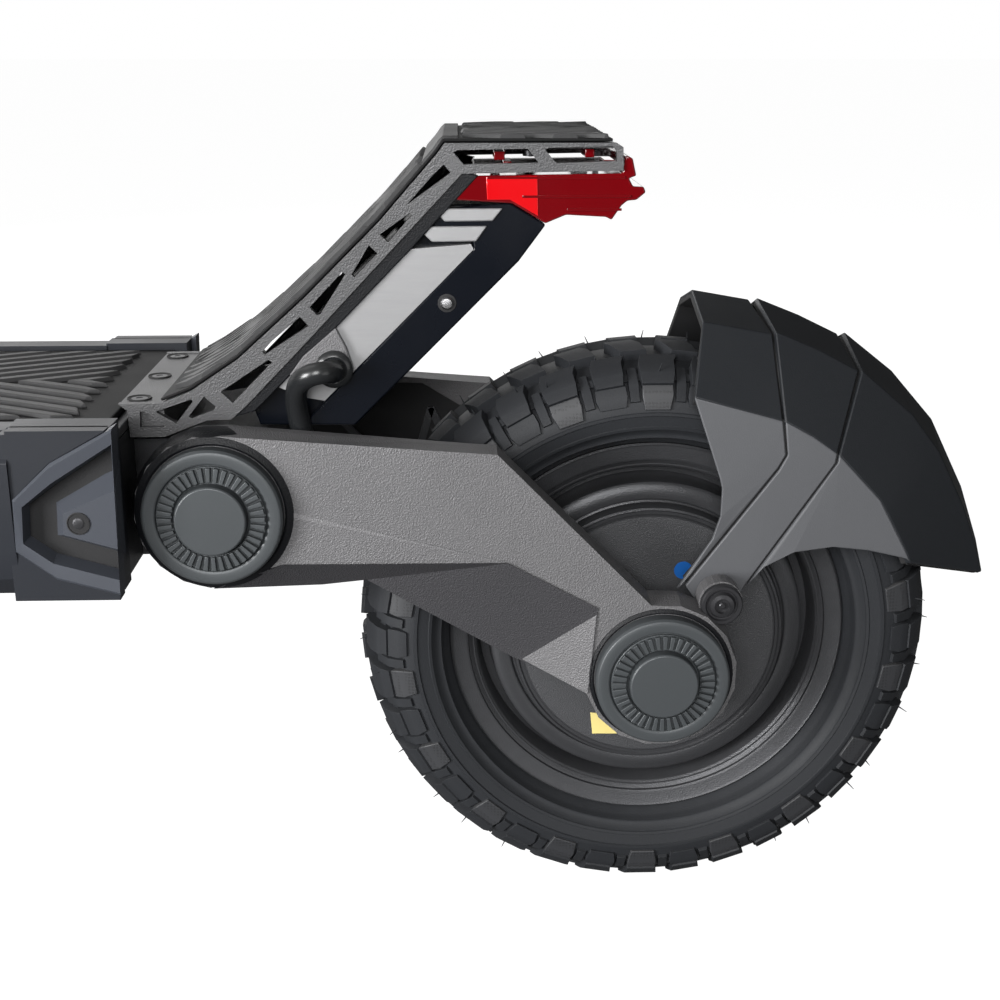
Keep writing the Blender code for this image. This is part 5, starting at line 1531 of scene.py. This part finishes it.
@dataclass
class FrontFrame:
    """Gooseneck, fork, folding joint and latch."""

    def collar(self, z0: float, z1: float, radius: float) -> bmesh.types.BMesh:
        """A turned ring round the steering axis."""
        return raked(turned([(0.0160, z0), (radius, z0), (radius + 0.0008, z0 + 0.0008),
                             (radius + 0.0008, z1 - 0.0008),
                             (radius, z1), (0.0160, z1)], 64))

    def build(self) -> None:
        """Makes and dresses the pieces."""
        dress("gooseneck", Finishes.ARM, Edge(0.0022, 3))
        dress("fork", Finishes.ARM, Edge(0.0020, 3))
        dress("stem_base", Finishes.COVER_BODY, Edge(0.0012))
        dress("fold_lever", Finishes.COVER_BODY, Edge(0.0015, 3))
        add("headset_lower", self.collar(0.3812, 0.3870, 0.0292), Finishes.STEEL, "chassis", ())
        add("headset_upper", self.collar(0.4830, 0.4896, 0.0292), Finishes.BLACK_BOLT, "chassis")
        pins = []
        for sign in SIDES.values():
            pin = turned([(0, 0.0236), (0.0055, 0.0236), (0.0055, 0.0246), (0.0045, 0.0252), (0, 0.0252)], 32)
            pins.append(raked(across(pin, -0.0340, 0.5450, sign)))
        add("hinge_pin_heads", merged(pins), Finishes.BLACK_BOLT, "steering")
        bolts = []
        for y in (-0.045, 0.045):
            for x in (0.0080, 0.0620):
                bolt = turned([(0, 0), (0.0055, 0), (0.0055, 0.0030), (0.0045, 0.0038), (0.0026, 0.0038),
                               (0.0022, 0.0014), (0, 0.0014)], 28)
                bolt.transform(Matrix.Translation(REAR.at(0.6590 + x, y, 0.1187)))
                bolts.append(bolt)
        add("neck_bolts", merged(bolts), Finishes.BLACK_BOLT, "chassis")


@dataclass
class Cockpit:
    """Stem, handlebar, grips, levers, display and lamp."""

    height: float = 1.2150
    half: float = 0.3200

    def grips(self) -> None:
        """Ribbed rubber grips."""
        start = self.half - 0.1300
        for side, sign in SIDES.items():
            profile = [(0.0114, start), (0.0185, start), (0.0190, start + 0.0010), (0.0185, start + 0.0040),
                       (0.0158, start + 0.0070)]
            at = start + 0.0085
            while at < self.half - 0.0110:
                profile += [(0.0152, at), (0.0160, at + 0.0006), (0.0160, at + 0.0020), (0.0152, at + 0.0026)]
                at += 0.0036
            profile += [(0.0158, self.half - 0.0080), (0.0180, self.half - 0.0050), (0.0180, self.half - 0.0006),
                        (0.0174, self.half), (0, self.half), (0, self.half - 0.0035), (0.0114, self.half - 0.0035)]
            cut_at = [i for i, (radius, _) in enumerate(profile) if radius == 0]
            ordered = profile[cut_at[1]:] + profile[:cut_at[0] + 1]
            add(f"grip_ribbed_{side}", raked(across(turned(ordered, 48), 0, self.height, sign)), Finishes.MAT,
                "stem",
                [f"grip_{side}"])

    def display(self) -> None:
        """The glass, its bezel and plain segments."""
        dress("display", Finishes.PLASTIC, Edge(0.0030, 4))
        base = self.height + 0.0254
        corners = [(-0.0230, -0.0340), (0.0200, -0.0340), (0.0200, 0.0340), (-0.0230, 0.0340)]
        glass = loft([[(x * s if x > 0 else max(x, -0.0145), y * s, z) for x, y in corners]
                      for z, s in ((base + 0.0149, 1.0), (base + 0.0158, 0.96))])
        add("display_glass", raked(glass), Finishes.GLASS_BLACK, "stem", (), Edge(0.0012, 3))
        bars = []
        low, high, thick = base + 0.0157, base + 0.01595, 0.0022
        for i in range(5):
            y = -0.020 + 0.0080 * i
            bars.append(cuboid((-0.0095, y, low), (-0.0060, y + 0.0060, high)))
        for x in (0.000, 0.016, 0.008):
            for shift in (0.0, 0.013):
                y = -0.012 + shift
                bars.append(cuboid((x - 0.0010, y, low), (x + thick - 0.0010, y + 0.0085, high)))
        add("display_segments", raked(merged(bars)), Finishes.SCREEN, "stem")

    def lamp(self) -> None:
        """The lamp's bowl, bezel and lens."""
        dress("headlight", Finishes.PLASTIC, Edge(0.0008))
        lens = turned([(0, 0.0221), (0.0150, 0.0221), (0.0140, 0.0232), (0.0080, 0.0244), (0, 0.0248)], 64)
        bezel = turned([(0.0150, 0.0200), (0.0178, 0.0200), (0.0172, 0.0236), (0.0158, 0.0240), (0.0150, 0.0226)],
                       64)
        turn = Matrix.Translation((0.0223, 0, self.height - 0.0800)) @ Matrix.Rotation(math.pi / 2, 4, "Y")
        for name, bm, finish in (("lamp_lens", lens, Finishes.LAMP), ("lamp_bezel", bezel, Finishes.STEEL)):
            bm.transform(turn)
            add(name, raked(bm), finish, "stem", ())

    def bolts(self) -> None:
        """Clamp bolts on the stem and on each lever's perch."""
        made = []
        for y in (-0.0180, 0.0180):
            bolt = turned([(0, 0.0), (0.0034, 0.0), (0.0034, 0.0028), (0.0026, 0.0034), (0.0016, 0.0034),
                           (0.0014, 0.0012), (0, 0.0012)], 24)
            bolt.transform(Matrix.Translation((0.0246, y, self.height - 0.0030)) @ Matrix.Rotation(math.pi / 2, 4,
                                                                                                   "Y"))
            made.append(raked(bolt))
        for sign in SIDES.values():
            bolt = turned([(0, 0.0042), (0.0038, 0.0042), (0.0038, 0.0056), (0.0030, 0.0062), (0, 0.0062)], 24)
            bolt.transform(Matrix.Translation((0.0290, sign * (self.half - 0.1480), self.height)))
            made.append(raked(bolt))
        add("cockpit_bolts", merged(made), Finishes.STEEL, "stem", ())

    def build(self) -> None:
        """Makes and dresses the pieces."""
        dress("stem_tube", Finishes.COVER_BODY, Edge(0.0012, 3, 34))
        dress("handlebar", Finishes.COVER_BODY, Edge(0.0008, 2, 34))
        for side in SIDES:
            dress(f"brake_lever_{side}", Finishes.SILVER, Edge(0.0018, 3))
        dress("throttle", Finishes.PLASTIC, Edge(0.0012, 3))
        dress("power_button", Finishes.SILVER, Edge(0.0006, 3))
        self.grips()
        self.display()
        self.lamp()
        self.bolts()


def main() -> None:
    """Builds every sub-assembly in order."""
    logging.basicConfig(level=logging.INFO, format="%(name)s: %(message)s")
    Studio().build()
    Deck().build()
    Tail().build()
    for end, motor in ((REAR, True), (FRONT, False)):
        Wheel(end, motor).build()
        SwingArm(end).build()
        Fender(end, motor).build()
    FrontFrame().build()
    Cockpit().build()
    dress("kickstand_bracket", Finishes.RIM, Edge(0.0010))
    dress("kickstand_leg", Finishes.RIM, Edge(0.0012))


if __name__ == "__main__":
    main()
